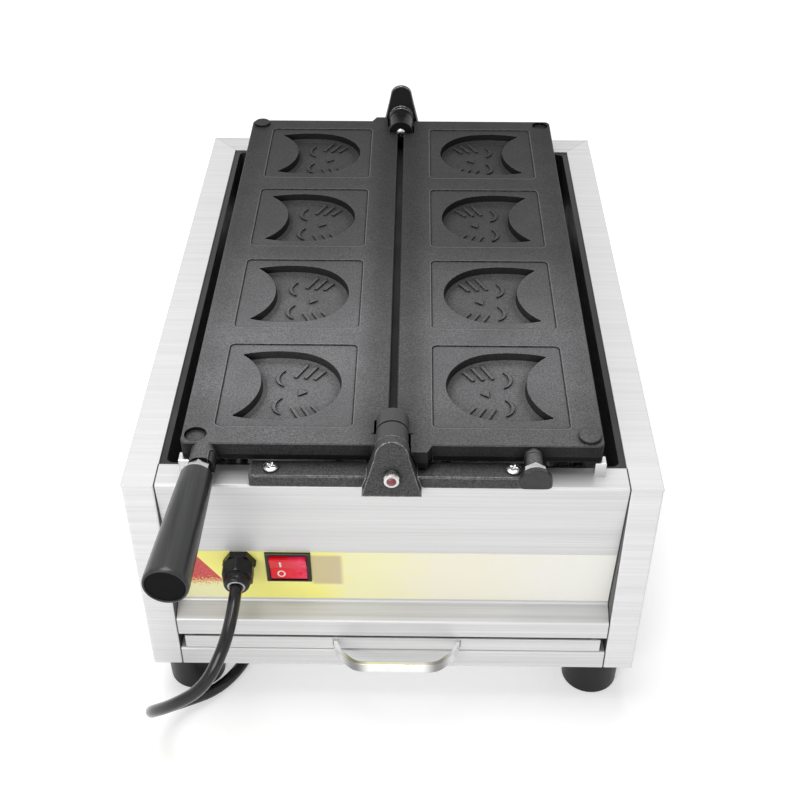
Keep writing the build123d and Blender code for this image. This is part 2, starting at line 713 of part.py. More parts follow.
def drawer_tray():
    """Drip tray with a folded front that shows in the slot."""
    top = deck - drawer_face_top_drop
    low = deck - drawer_face_bottom_drop
    rear = front + drawer_length
    face = block((-drawer_half, drawer_half), (front, front + metal), (low, top))
    pan = block((-drawer_tray_half, drawer_tray_half), (front + metal / 2, rear), (low, top))
    pan = fillet(pan.edges().filter_by(Axis.Z).sort_by(Axis.Y)[-2:], 6)
    across = (1 - drawer_tray_half, drawer_tray_half - 1)
    hollow = block(across, (front + metal, rear - 1), (low + 1, top + 1))
    pan -= fillet(hollow.edges().filter_by(Axis.Z).sort_by(Axis.Y)[-2:], 5)
    tray = face + pan
    slit = (top - handle_top - handle_height - 0.2, top - handle_top + 0.2)
    for hand in (-1, 1):
        outer = handle_shift + hand * (handle_half + 0.2)
        tray -= block((outer, outer - hand * (handle_metal + 0.7)), (front - 1, front + metal + 0.1), slit)
    return tray


def drawer_handle():
    """Bowed strip whose ends pass through slits in the drawer's front and are bent flat behind it."""
    inner = handle_half - handle_metal
    seat = metal + 0.1 + handle_tab[1]
    arm = handle_arm[0] - handle_metal
    reach = handle_metal - handle_reach
    half = [(arm, -handle_arm[1]), (handle_straight - handle_metal, reach)]
    line = [(-inner, seat), (-inner, -1)] + [(-x, y) for x, y in half]
    line += half[::-1] + [(inner, -1), (inner, seat)]
    wire = FilletPolyline(*line, radius=handle_round)
    outline = offset(wire, amount=handle_metal, side=Side.RIGHT, closed=True)
    z = deck - drawer_face_top_drop - handle_top - handle_height
    bar = extrude(Pos(handle_shift, front, z) * make_face(outline), handle_height)
    for hand in (-1, 1):
        outer = handle_shift + hand * handle_half
        across = (outer, outer - hand * handle_tab[0])
        bar += block(across, (front + metal + 0.1, front + seat), (z, z + handle_height))
    return bar


def drawer_runner(hand):
    """Folded runner on the base pan, with a ledge under the tray."""
    ledge = deck - drawer_face_bottom_drop - 0.3
    seat = foot_height + metal + 0.1 + runner_metal
    outer = runner_half + 14
    line = [(drawer_tray_half - 7, ledge), (runner_half, ledge), (runner_half, seat), (outer, seat)]
    plane = Plane(origin=(0, front + runner_start, 0), x_dir=(1, 0, 0), z_dir=(0, -1, 0))
    wire = FilletPolyline(*line, radius=1.4)
    outline = offset(wire, amount=runner_metal, side=Side.RIGHT, closed=True)
    runner = extrude(plane * make_face(outline), -runner_length)
    return runner if hand > 0 else mirror(runner, Plane.YZ)


def heater_path(hand):
    """Tubular element: two runs joined by a half turn, both ends forward."""
    near = hand * heater_inner
    far = hand * heater_outer
    top = ((near + far) / 2, heater_rear + heater_turn, heater_z)
    turn = ThreePointArc((near, heater_rear, heater_z), top, (far, heater_rear, heater_z))
    return Wire([Line((near, heater_front, heater_z), (near, heater_rear, heater_z)), turn,
                 Line((far, heater_rear, heater_z), (far, heater_front, heater_z))])


def heater(hand):
    """The element swept along its path, with a thin terminal pin at each end."""
    path = heater_path(hand)
    section = Plane(origin=path.position_at(0), z_dir=path.tangent_at(0)) * Circle(tube_radius)
    tube = sweep(section, path)
    for run in (heater_inner, heater_outer):
        x = hand * run
        tube += rod(1.6, (x, heater_front + 1, heater_z), (x, heater_front - 5, heater_z))
    return tube


def heater_bushes(hand):
    """Flanged bushes where an element's ends pass the chamber's front wall."""
    bushes = []
    for run in (heater_inner, heater_outer):
        x = hand * run
        ring = rod(heater_bush, (x, chamber_front - 4, heater_z), (x, chamber_front - 0.1, heater_z))
        bore = rod(tube_radius + 0.1, (x, chamber_front - 5, heater_z), (x, chamber_front + 1, heater_z))
        bushes.append(ring - bore)
    return bushes


def heater_support(hand, y):
    """Notched strip that stands on a rib of the chamber's floor and carries both runs."""
    low = chamber_floor + chamber_metal + 0.1
    across = (hand * (heater_inner - 10), hand * (heater_outer + 10))
    strip = block(across, (y - 1, y + 1), (low, heater_z + 1))
    strip += block(across, (y - 6, y + 6), (low, low + 1.5))
    for run in (heater_inner, heater_outer):
        x = hand * run
        notch = tube_radius + 0.2
        strip -= rod(notch, (x, y - 2, heater_z), (x, y + 2, heater_z))
        strip -= block((x - notch, x + notch), (y - 2, y + 2), (heater_z, heater_z + 3))
    return strip


def switch_body_solid():
    """Switch case behind the panel with its bezel in front, hollow for the rocker and its trunnions."""
    half = bezel_size / 2
    flange = extrude(Rectangle(bezel_size, bezel_size), bezel_height)
    flange = chamfer(flange.faces().sort_by(Axis.Z)[-1].edges(), 0.7)
    case = Pos(0, 0, -switch_body_depth / 2 + 0.5) * Box(switch_body, switch_body, switch_body_depth + 1)
    body = Pos(0, 0, band_film + 0.05) * flange + case
    body -= Box(rocker_size + 0.8, rocker_size + 1.8, 20)
    body -= rod(1.6, (-half + 1.2, 0, 0), (half - 1.2, 0, 0))
    for x in (-7, 7):
        body += Pos(x, 0, -switch_body_depth - 3) * Box(0.8, 6.3, 8)
    return body


def rocker():
    """Rocker of the switch: a shallow V of two finger faces on two trunnions, tilted to its OFF stop."""
    half = rocker_size / 2
    profile = Polyline((-half, 3.6), (0, 1.9), (half, 3.6), (half, -2), (7, -6.5), (-7, -6.5), (-half, -2),
                       close=True)
    body = extrude(Plane.YZ * make_face(profile), rocker_size / 2, both=True)
    body = fillet(body.edges().filter_by(Axis.X).group_by(Axis.Z)[-1], 0.8)
    body += rod(1.5, (-half - 0.9, 0, 0), (half + 0.9, 0, 0))
    return Rot(rocker_tilt, 0, 0) * body


def gland_body():
    """Threaded body of the cable gland with its hexagon outside the panel."""
    body = hexagon(gland_hex, (0, 0, band_film + 0.05), (0, 0, gland_hex_height))
    body += rod(gland_thread, (0, 0, -10), (0, 0, 2))
    return body - rod(cord_radius + 0.1, (0, 0, -12), (0, 0, 12))


def gland_cap():
    """Cap nut of the gland: hexagon, then a round clamp with a domed mouth."""
    low = gland_hex_height + 0.1
    cap = hexagon(gland_hex - 1, (0, 0, low), (0, 0, low + 7))
    dome = rod(gland_cap_radius, (0, 0, low), (0, 0, low + gland_cap_length))
    dome = fillet(dome.faces().sort_by(Axis.Z)[-1].edges(), 4.0)
    return cap + dome - rod(cord_radius + 0.1, (0, 0, low - 1), (0, 0, low + gland_cap_length + 1))


def gland_locknut():
    """Thin nut behind the panel."""
    nut = hexagon(22, (0, 0, -metal - 4.1), (0, 0, -metal - 0.1))
    return nut - rod(gland_thread + 0.1, (0, 0, -8), (0, 0, 2))


def label_band():
    """Thin coloured film on the leaning face, cut round the switch and the gland."""
    half = post_inner - seam - 0.5
    face = panel_plane()
    outline = Pos(0, -(band_top + band_bottom) / 2, 0) * Rectangle(2 * half, band_bottom - band_top)
    film = extrude(face * outline, band_film)
    opening = Pos(switch_x, -switch_slope, 0) * Rectangle(switch_body + 0.6, switch_body + 0.6)
    film -= extrude(face * opening, 3, both=True)
    return film - extrude(face * Pos(gland_x, -gland_slope, 0) * Circle(gland_thread + 0.4), 3, both=True)


def placed_on_panel(shape, x, slope):
    """Moves a fitting drawn about the origin to its place on the leaning face."""
    return (panel_plane() * Pos(x, -slope, 0)) * shape


def thermal_cutout():
    """Round cut-out on a bracket under the chamber's floor."""
    z = chamber_floor - 0.1
    body = rod(9, (0, -60, z), (0, -60, z - 8)) + block((-17, 17), (-65, -55), (z - 1.5, z))
    for x in (-5, 5):
        body += block((x - 0.4, x + 0.4), (-63, -57), (z - 15, z - 7))
    return body


def terminal_block():
    """Connector strip hung under the chamber's left front rib."""
    z = chamber_floor - 0.1
    strip = block((-96, -36), (-rib_y - 10, -rib_y + 10), (z - 16, z))
    for way in range(3):
        x = -86 + way * 20
        for y in (-rib_y - 6, -rib_y + 6):
            strip -= rod(2.2, (x, y, z - 17), (x, y, z - 9))
    return strip


def coil_point(turned):
    """A point of the coil after turning by that angle: in on the lower layer, out on the upper one."""
    whole = 2 * pi * coil_turns
    from_middle = turned - whole
    climb = pi / 2
    spread = abs(from_middle)
    if spread < climb:
        spread = (from_middle ** 2 + climb ** 2) / (2 * climb)
    rising = max(-1.0, min(1.0, from_middle / climb))
    radius = coil_radius - coil_pitch / (2 * pi) * (whole - spread)
    angle = pi - turned
    height = cord_radius + coil_layer * (0.5 + 0.5 * sin(rising * pi / 2))
    return Vector(coil_middle[0] + radius * cos(angle), coil_middle[1] + radius * sin(angle), height)


def coil_heading(turned):
    """Unit tangent of the coil there."""
    step = 1e-4
    return (coil_point(turned + step) - coil_point(turned - step)).normalized()


def arc_from(start, way, end):
    """The arc between two points that leaves the first one in the given direction."""
    chord = end - start
    lean = (way.normalized() + chord.normalized()).normalized()
    return ThreePointArc(start, start + lean * (chord.length / 2 / lean.dot(chord.normalized())), end)


def biarc(start, start_way, end, end_way):
    """Two arcs that leave one point and reach another with given directions, tangent where they meet."""
    span = end - start
    a = 2 * (1 - start_way.dot(end_way))
    b = span.dot(start_way + end_way)
    reach = (-b + (b * b + a * span.dot(span)) ** 0.5) / a
    meet = (start + start_way * reach + end - end_way * reach) * 0.5
    middle_way = (end - end_way * reach - start - start_way * reach).normalized()
    return [arc_from(start, start_way, meet), arc_from(meet, middle_way, end)]


def cord_section(path):
    """The cord's outline at the start of its path, with flats to keep its facets few."""
    start = Plane(origin=path.position_at(0), z_dir=path.tangent_at(0))
    return start * RegularPolygon(cord_radius, cord_sides)


def cord_coil():
    """The length of cord that isn't seen, coiled behind the casing as one unbroken tube."""
    quarters = int(4 * 2 * coil_turns)
    angles = [quarter * pi / 2 for quarter in range(quarters + 1)]
    spots = [coil_point(angle) for angle in angles]
    ways = [coil_heading(angle) for angle in angles]
    edges = [Line(spots[0] - ways[0] * 2 * cord_radius, spots[0])]
    for index in range(quarters):
        edges += biarc(spots[index], ways[index], spots[index + 1], ways[index + 1])
    edges.append(Line(spots[-1], spots[-1] + ways[-1] * 2 * cord_radius))
    path = Wire(edges)
    tube = sweep(cord_section(path), path)
    count = 700
    marks = [coil_point(angles[-1] * index / count) for index in range(count + 1)]
    step = path.length / count
    skip = int(6 * cord_radius / step)
    least = min((marks[i] - marks[j]).length for i in range(count + 1) for j in range(i + skip, count + 1))
    print(f"coil: length {path.length:.0f} mm, least gap to itself {least - 2 * cord_radius:.2f} mm, "
          f"volume {tube.volume:.0f} against {cord_section(path).area * path.length:.0f} mm3")
    return tube, path.length


def free_tube(points, name):
    """Tube of straight runs joined by tangent arcs, each as large as its two runs allow."""
    spots = [Vector(*point) for point in points]
    radii = []
    for before, here, after in zip(spots, spots[1:], spots[2:]):
        turn = radians((here - before).get_angle(after - here))
        shorter = min((here - before).length, (after - here).length)
        radii.append(0.45 * shorter / tan(turn / 2))
    path = FilletPolyline(*spots, radius=radii)
    tube = sweep(cord_section(path), path)
    print(f"{name}: length {path.length:.0f} mm, least radius {min(radii):.0f} mm, radii "
          f"{[round(radius) for radius in radii]}, volume {tube.volume:.0f} against "
          f"{cord_section(path).area * path.length:.0f} mm3")
    return tube, path.length


def cord_run_points():
    """The stretch from the gland down to the floor, under the casing and out to the coil.

    It hangs left of the drawer, so that the drawer can be pulled out beside it.
    """
    mouth = gland_hex_height + 0.1 + gland_cap_length
    start = on_panel(gland_x, gland_slope, mouth)
    second = on_panel(gland_x, gland_slope, mouth + 27)
    low = cord_radius
    coil_from = coil_point(0) - coil_heading(0) * 2 * cord_radius
    before_coil = coil_from - coil_heading(0) * 40
    drape = [(-108.6, -306.4, deck - 97.1), (-121.5, -320.0, deck - 118.5), (-143.6, -321.0, deck - 136.0),
             (-166.5, -310.5, deck - 154.0), (-177.0, -288.5, deck - 177.0), (-167.5, -264.0, deck - 198.0)]
    under = [(-143.0, -244.0, low), (-114.5, -223.0, low), (-100.0, -187.0, low), (-101.0, -141.0, low),
             (-108.0, -82.0, low), (-104.0, -6.0, low), (-96.0, 84.0, low), (-88.0, 170.0, low),
             (-87.0, 232.0, low)]
    return [tuple(start), tuple(second)] + drape + under + [tuple(before_coil), tuple(coil_from)]


def cord_tail_points():
    """From the coil's upper end to the plug's sleeve."""
    quarters = int(4 * 2 * coil_turns)
    turned = quarters * pi / 2
    start = coil_point(turned) + coil_heading(turned) * 2 * cord_radius
    first = start + coil_heading(turned) * 27
    return [tuple(start), tuple(first), (37.5, 275.2, 15.2), (60.9, 261.7, 17.2), (88.0, 261.7, plug_radius)]


def plug(start):
    """Moulded two-pin plug: sleeve, neck and round body, lying along +X."""
    x, y, z = start
    shoulder = plug_sleeve + 12
    end = shoulder + plug_length
    profile = Polyline((0, cord_radius + 0.1), (0, 6), (plug_sleeve, 7.5), (plug_sleeve + 6, plug_radius - 3),
                       (shoulder, plug_radius), (end - 10, plug_radius), (end - 8, plug_radius - 2),
                       (end, plug_radius - 2), (end, 0), (2, 0), (2, cord_radius + 0.1), close=True)
    return Pos(x, y, z) * revolve(Plane.XZ * make_face(profile), Axis.X)


def plug_pins(start):
    """The plug's two round pins."""
    x, y, z = start
    face = x + plug_sleeve + 12 + plug_length
    rows = (y - 9.5, y + 9.5)
    return [rod(2.4, (face + 0.05, row, z), (face + pin_length, row, z)) for row in rows]


def group(shapes):
    """Several separate solids in one node."""
    return Compound(children=[solid for shape in shapes for solid in shape.solids()])


def build():
    """Makes every piece in casing coordinates."""
    cutter = cat_cutter()
    solids["left_side_panel"] = side_panel(-1)
    solids["right_side_panel"] = side_panel(1)
    solids["front_panel"] = front_panel()
    solids["lower_front_rail"] = lower_rail()
    solids["rear_panel"] = rear_panel()
    solids["base_pan"] = base_pan()
    solids["label_band"] = label_band()
    feet = {"front_left": (-1, -1), "front_right": (1, -1), "rear_left": (-1, 1), "rear_right": (1, 1)}
    screws = []
    for name, (hand, end) in feet.items():
        place = Pos(hand * foot_x, end * foot_y, 0)
        solids[f"{name}_foot"] = place * foot()
        screws += [place * piece for piece in foot_screw()]
    solids["foot_screws"] = group(screws)
    solids["chamber_liner"] = chamber_liner()
    solids["centre_beam"] = centre_beam()
    solids["front_hinge_bracket"] = bracket(-1)
    solids["rear_hinge_bracket"] = bracket(1)
    corners = [(hand * bracket_screw_x, sign * bracket_screw_y) for hand in (-1, 1) for sign in (-1, 1)]
    solids["bracket_screws"] = group([piece for x, y in corners for piece in bracket_screw(x, y)])
    solids["pillar_bolts"] = group([pillar_bolt(-1), pillar_bolt(1)])
    solids["front_hinge_pin"] = hinge_pin(-1)
    solids["rear_hinge_pin"] = hinge_pin(1)
    solids["rest_pads"] = group([rest_pad(hand, sign) for hand in (-1, 1) for sign in (-1, 1)])
    for name, hand in (("left", -1), ("right", 1)):
        solids[f"{name}_mould_plate"] = mould_plate(hand, cutter)
        solids[f"{name}_grip"] = grip(hand)
        solids[f"{name}_grip_stud"] = grip_stud(hand)
        solids[f"{name}_grip_nut"] = grip_nut(hand)
        solids[f"{name}_heater"] = heater(hand)
        solids[f"{name}_heater_bushes"] = group(heater_bushes(hand))
        supports = [heater_support(hand, -rib_y), heater_support(hand, rib_y)]
        solids[f"{name}_heater_supports"] = group(supports)
    solids["drawer_tray"] = drawer_tray()
    solids["drawer_handle"] = drawer_handle()
    solids["drawer_runners"] = group([drawer_runner(-1), drawer_runner(1)])
    solids["switch_body"] = placed_on_panel(switch_body_solid(), switch_x, switch_slope)
    solids["switch_rocker"] = placed_on_panel(rocker(), switch_x, switch_slope)
    solids["gland_body"] = placed_on_panel(gland_body(), gland_x, gland_slope)
    solids["gland_cap_nut"] = placed_on_panel(gland_cap(), gland_x, gland_slope)
    solids["gland_locknut"] = placed_on_panel(gland_locknut(), gland_x, gland_slope)
    solids["thermal_cutout"] = thermal_cutout()
    solids["terminal_block"] = terminal_block()
    solids["cord_run"], run_length = free_tube(cord_run_points(), "cord run")
    solids["cord_coil"], coil_length = cord_coil()
    tail = cord_tail_points()
    solids["cord_tail"], tail_length = free_tube(tail, "cord tail")
    solids["plug_body"] = plug(tail[-1])
    solids["plug_pins"] = group(plug_pins(tail[-1]))
    print(f"cord: {run_length + coil_length + tail_length:.0f} mm in all")


def export_all():
    """Moves the origin to the middle of the footprint, writes each node and prints what the joints use."""
    on_cord = ("cord_run", "cord_coil", "cord_tail", "plug_body", "plug_pins")
    boxes = [shape.bounding_box() for name, shape in solids.items() if name not in on_cord]
    low = [min(getattr(box.min, axis) for box in boxes) for axis in "XYZ"]
    high = [max(getattr(box.max, axis) for box in boxes) for axis in "XYZ"]
    shift = Vector(-(low[0] + high[0]) / 2, -(low[1] + high[1]) / 2, -low[2])
    os.makedirs("parts", exist_ok=True)
    for name, shape in solids.items():
        moved = shape.moved(Location(shift))
        moved.label = name
        export_step(moved, f"parts/{name}.step")
    print("shift", [round(value, 3) for value in shift], "box", [round(h - l, 1) for l, h in zip(low, high)])
    print("hinge axis at", [round(value, 3) for value in Vector(0, 0, axis_z) + shift])
    print("rocker axis at", [round(value, 3) for value in on_panel(switch_x, switch_slope) + shift])
    drawer_point = Vector(0, front, deck - drawer_face_bottom_drop) + shift
    print("drawer at", [round(value, 3) for value in drawer_point])


build()
export_all()
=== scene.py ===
import bmesh
import bpy
import numpy as np
from math import cos, pi, radians, sin
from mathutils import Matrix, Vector


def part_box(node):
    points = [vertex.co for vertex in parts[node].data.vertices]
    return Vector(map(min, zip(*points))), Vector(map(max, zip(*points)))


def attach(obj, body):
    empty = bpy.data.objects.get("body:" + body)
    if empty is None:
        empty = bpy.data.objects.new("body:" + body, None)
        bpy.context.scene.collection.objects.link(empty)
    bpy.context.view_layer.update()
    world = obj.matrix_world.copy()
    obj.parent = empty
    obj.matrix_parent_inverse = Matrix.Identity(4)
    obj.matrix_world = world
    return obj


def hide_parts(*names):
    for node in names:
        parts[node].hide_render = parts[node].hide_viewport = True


# Looks of a steel waffle maker whose two cast mould plates lie open side by side, in the model's frame

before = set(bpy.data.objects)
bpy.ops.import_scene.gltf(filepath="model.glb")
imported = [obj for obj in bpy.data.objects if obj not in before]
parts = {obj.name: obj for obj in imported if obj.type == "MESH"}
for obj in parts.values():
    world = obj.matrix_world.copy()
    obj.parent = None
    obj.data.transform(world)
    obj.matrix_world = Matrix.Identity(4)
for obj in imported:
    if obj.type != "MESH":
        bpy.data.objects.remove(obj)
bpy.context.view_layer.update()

# Places that follow from the frame, in millimetres about the casing's middle
millimetre = 0.001
side_low, side_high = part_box("left_side_panel")
casing_middle = (side_low.y + side_high.y) / 2
casing_front = (side_low.y - casing_middle) / millimetre
deck = side_high.z / millimetre

# The leaning face, as in the model
panel_drop = 123.4
panel_lean = 14.0
panel_slope = np.hypot(panel_drop, panel_lean)
panel_down = np.array([0.0, panel_lean, -panel_drop]) / panel_slope
panel_normal = np.array([0.0, -panel_drop, -panel_lean]) / panel_slope

# The plates' recesses and knuckles, the seams beside the front panel and the pull handle, as in the model
plate_top = deck + 15.8
cat_x = 71.0
cat_pitch = 110.0
recess_half = 45.0
recess_corner = 4.0
ring_side = 12.5
ring_start = 202.0
ring_end = 216.0
seam_x = 153.5
front_end = casing_front + 20.5
handle_middle = 3.0

# Cord, as routed in the model
cord_radius = 4.2
cord_seen_radius = 4.3
gland_x = -105.0
gland_slope = 78.0
gland_mouth = 23.6
gland_straight = 20.0
coil_middle = (-30.0, 334.0)
coil_radius = 54.0
coil_turns = 1.75
coil_pitch = 9.2
coil_layer = 9.0
coil_points_a_turn = 24
into_coil = (48.4, 8.4)
out_of_coil = (8.4, 35.4)


def placed(points):
    """Points in millimetres about the casing's middle, as metres in the frame."""
    return np.asarray(points, float) * millimetre + np.array([0.0, casing_middle, 0.0])


def on_panel(x, slope, out):
    """A point of the leaning face: across it, down its slope, and off it along its normal."""
    return np.array([x, casing_front, deck]) + panel_down * slope + panel_normal * out


def coil_line():
    """The coil: a spiral in by coil_pitch a turn, a climb over the middle half turn, and a spiral out."""
    whole = 2 * pi * coil_turns
    run = np.linspace(0, 2 * whole, int(2 * coil_turns * coil_points_a_turn) + 1)
    from_middle = run - whole
    climb = pi / 2
    away = np.abs(from_middle)
    away = np.where(away < climb, (from_middle ** 2 + climb ** 2) / (2 * climb), away)
    rising = np.clip(from_middle / climb, -1, 1)
    radius = coil_radius - coil_pitch / (2 * pi) * (whole - away)
    angle = pi - run
    height = cord_radius + coil_layer * (0.5 + 0.5 * np.sin(rising * pi / 2))
    x = coil_middle[0] + radius * np.cos(angle)
    y = coil_middle[1] + radius * np.sin(angle)
    return np.stack([x, y, height], 1)


def cord_route():
    """Every point of the cord, from the gland's mouth by way of the coil to the plug's sleeve."""
    low = cord_radius
    drape = [(-109.5, -298.5, 121.5), (-122.5, -312.0, 99.0), (-146.0, -311.0, 79.0), (-165.5, -299.0, 56.0),
             (-169.0, -279.5, 31.0), (-157.0, -258.0, 11.5), (-128.0, -238.0, low), (-109.0, -203.0, low)]
    under = [(-101.0, -150.0), (-108.0, -82.0), (-104.0, -6.0), (-96.0, 84.0), (-88.0, 170.0), (-87.0, 232.0)]
    coil = coil_line()
    back_from = (coil[0] - coil[1]) / np.linalg.norm(coil[0] - coil[1])
    onward = (coil[-1] - coil[-2]) / np.linalg.norm(coil[-1] - coil[-2])
    tail = [(37.5, 275.2, 15.2), (60.9, 261.7, 17.2), (88.0, 261.7, 18.0)]
    start = [on_panel(gland_x, gland_slope, out) for out in (gland_mouth, gland_mouth + gland_straight)]
    into = [coil[0] + back_from * reach for reach in into_coil]
    out = [coil[-1] + onward * reach for reach in out_of_coil]
    return placed(np.vstack([start, drape, [(x, y, low) for x, y in under], into, coil, out, tail]))


def make_camera():
    """The photograph's view: a lens of 56 mm, 39 degrees down."""
    data = bpy.data.cameras.new("camera")
    data.lens = 56.088
    data.sensor_width = 36.0
    camera = bpy.data.objects.new("camera", data)
    camera.location = (0.012766, -0.780575, 0.761445)
    camera.rotation_euler = (radians(90.0 - 38.9973), radians(-0.05), radians(0.7777))
    bpy.context.scene.collection.objects.link(camera)
    bpy.context.scene.camera = camera


def make_cord():
    """One smooth spline along the whole route, as thick as the cord."""
    points = cord_route()
    curve = bpy.data.curves.new("power_cord", "CURVE")
    curve.dimensions = "3D"
    spline = curve.splines.new("NURBS")
    spline.points.add(len(points) - 1)
    for spot, place in zip(spline.points, points):
        spot.co = (*place, 1.0)
        spot.radius = cord_seen_radius * millimetre
    spline.order_u = 3
    spline.use_endpoint_u = True
    spline.resolution_u = 6
    curve.bevel_depth = 1.0
    curve.bevel_resolution = 6
    curve.use_fill_caps = True
    cord = bpy.data.objects.new("power_cord", curve)
    bpy.context.scene.collection.objects.link(cord)
    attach(cord, "casing")
    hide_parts("cord_run", "cord_coil", "cord_tail")
    return cord, tuple(points[0])


make_camera()
cord, cord_exit = make_cord()


# Node helpers

def add(tree, kind, values=None, **settings):
    """A node of the tree with some of its settings and its sockets' own values."""
    made = tree.nodes.new(kind)
    for key, value in settings.items():
        setattr(made, key, value)
    for key, value in (values or {}).items():
        made.inputs[key].default_value = value
    return made


def new_group(name, inputs, outputs):
    """A shader node group with named sockets."""
    tree = bpy.data.node_groups.new(name, "ShaderNodeTree")
    for label, kind, value in inputs:
        socket = tree.interface.new_socket(label, in_out="INPUT", socket_type=kind)
        if value is not None:
            socket.default_value = value
    for label, kind in outputs:
        tree.interface.new_socket(label, in_out="OUTPUT", socket_type=kind)
    return tree, tree.nodes.new("NodeGroupInput"), tree.nodes.new("NodeGroupOutput")


def use_group(tree, group, place, values=None):
    """Places a node group in a material with the material's own values, fed by the piece's coordinates."""
    made = add(tree, "ShaderNodeGroup", values, node_tree=group)
    if place:
        tree.links.new(place, made.inputs["Vector"])
    return made


def spread(tree, source, low, high, start=0.0, end=1.0, smooth=False):
    """A value of the source range turned into one between low and high."""
    limits = {"From Min": start, "From Max": end, "To Min": low, "To Max": high}
    made = add(tree, "ShaderNodeMapRange", limits, interpolation_type="SMOOTHSTEP" if smooth else "LINEAR")
    tree.links.new(source, made.inputs["Value"])
    return made.outputs["Result"]


def worked(tree, operation, first, second=None):
    """A sum, product or other result of one or two values or outputs."""
    made = add(tree, "ShaderNodeMath", operation=operation)
    for socket, value in zip(made.inputs, (first, second)):
        if isinstance(value, (int, float)):
            socket.default_value = value
        elif value is not None:
            tree.links.new(value, socket)
    return made.outputs[0]


def product(tree, first, second):
    """One value times another."""
    return worked(tree, "MULTIPLY", first, second)


def difference(tree, first, second):
    """One value less another."""
    return worked(tree, "SUBTRACT", first, second)


def size_of(tree, value):
    """A value without its sign."""
    return worked(tree, "ABSOLUTE", value)


def axes(tree, source):
    """The X, Y and Z of a vector output."""
    split = add(tree, "ShaderNodeSeparateXYZ")
    tree.links.new(source, split.inputs[0])
    return tuple(split.outputs)


def own_normal(tree):
    """The X, Y and Z of the direction that the piece's surface faces in its own coordinates."""
    return axes(tree, add(tree, "ShaderNodeTexCoord").outputs["Normal"])


def mixed(tree, factor, first, second):
    """A colour between two colours or colour outputs."""
    made = add(tree, "ShaderNodeMix", data_type="RGBA")
    tree.links.new(factor, made.inputs[0])
    for socket, colour in ((made.inputs[6], first), (made.inputs[7], second)):
        if isinstance(colour, tuple):
            socket.default_value = (*colour, 1.0)
        else:
            tree.links.new(colour, socket)
    return made.outputs[2]


def plain_colour(red, green, blue):
    """A colour written as 0 to 255 on a screen, as the shader needs it."""
    shares = np.array([red, green, blue]) / 255.0
    linear = np.where(shares <= 0.04045, shares / 12.92, ((shares + 0.055) / 1.055) ** 2.4)
    return tuple(float(share) for share in linear)


def grey(level):
    """A colour without a hue."""
    return (level, level, level)


def noise(tree, start, scale, detail, roughness, distortion=0.0):
    """Noise over a group's coordinates, as fine as the input named scale says."""
    values = {"Detail": detail, "Roughness": roughness, "Distortion": distortion}
    made = add(tree, "ShaderNodeTexNoise", values)
    tree.links.new(start.outputs["Vector"], made.inputs["Vector"])
    tree.links.new(start.outputs[scale], made.inputs["Scale"])
    return made.outputs["Fac"]


# Shared effects

def brushed_effect():
    """Fine parallel scratches: noise stretched along the grain, once narrow and once broad."""
    inputs = [("Vector", "NodeSocketVector", None), ("Stretch", "NodeSocketVector", (8.0, 900.0, 900.0))]
    outputs = [("Height", "NodeSocketFloat"), ("Tone", "NodeSocketFloat")]
    tree, start, end = new_group("brushed_grain", inputs, outputs)
    scaled = add(tree, "ShaderNodeVectorMath", operation="MULTIPLY")
    tree.links.new(start.outputs["Vector"], scaled.inputs[0])
    tree.links.new(start.outputs["Stretch"], scaled.inputs[1])
    fine = add(tree, "ShaderNodeTexNoise", {"Scale": 1.0, "Detail": 4.0, "Roughness": 0.65})
    broad = add(tree, "ShaderNodeTexNoise", {"Scale": 0.22, "Detail": 3.0, "Roughness": 0.6})
    tree.links.new(scaled.outputs[0], fine.inputs["Vector"])
    tree.links.new(scaled.outputs[0], broad.inputs["Vector"])
    blend = worked(tree, "ADD", fine.outputs["Fac"], broad.outputs["Fac"])
    tree.links.new(spread(tree, blend, 0.0, 1.0, 0.65, 1.35), end.inputs["Tone"])
    tree.links.new(fine.outputs["Fac"], end.inputs["Height"])
    return tree


def soft_edge_effect():
    """Edges rounded by a small radius in the shading, and a broken mask of where they're rubbed."""
    inputs = [("Vector", "NodeSocketVector", None), ("Radius", "NodeSocketFloat", 0.0008),
              ("Breakup", "NodeSocketFloat", 400.0)]
    outputs = [("Normal", "NodeSocketVector"), ("Wear", "NodeSocketFloat")]
    tree, start, end = new_group("soft_edges", inputs, outputs)
    bevel = add(tree, "ShaderNodeBevel", samples=6)
    tree.links.new(start.outputs["Radius"], bevel.inputs["Radius"])
    plain = add(tree, "ShaderNodeNewGeometry")
    compare = add(tree, "ShaderNodeVectorMath", operation="DOT_PRODUCT")
    tree.links.new(bevel.outputs["Normal"], compare.inputs[0])
    tree.links.new(plain.outputs["Normal"], compare.inputs[1])
    patches = spread(tree, noise(tree, start, "Breakup", 5.0, 0.7), 0.2, 1.2, 0.4, 0.6)
    broken = product(tree, spread(tree, compare.outputs["Value"], 1.0, 0.0, 0.78, 0.995), patches)
    tree.links.new(broken, end.inputs["Wear"])
    tree.links.new(bevel.outputs["Normal"], end.inputs["Normal"])
    return tree


def cast_grain_effect():
    """The fine pimpled skin of a casting or a moulding: grains, the speckles they make and soft clouds."""
    inputs = [("Vector", "NodeSocketVector", None), ("Scale", "NodeSocketFloat", 1400.0),
              ("Clouds", "NodeSocketFloat", 34.0)]
    outputs = [("Height", "NodeSocketFloat"), ("Speckle", "NodeSocketFloat"), ("Tone", "NodeSocketFloat")]
    tree, start, end = new_group("cast_grain", inputs, outputs)
    grains = noise(tree, start, "Scale", 3.0, 0.6)
    tree.links.new(grains, end.inputs["Height"])
    tree.links.new(spread(tree, grains, 0.0, 1.0, 0.36, 0.64), end.inputs["Speckle"])
    tree.links.new(noise(tree, start, "Clouds", 4.0, 0.55), end.inputs["Tone"])
    return tree


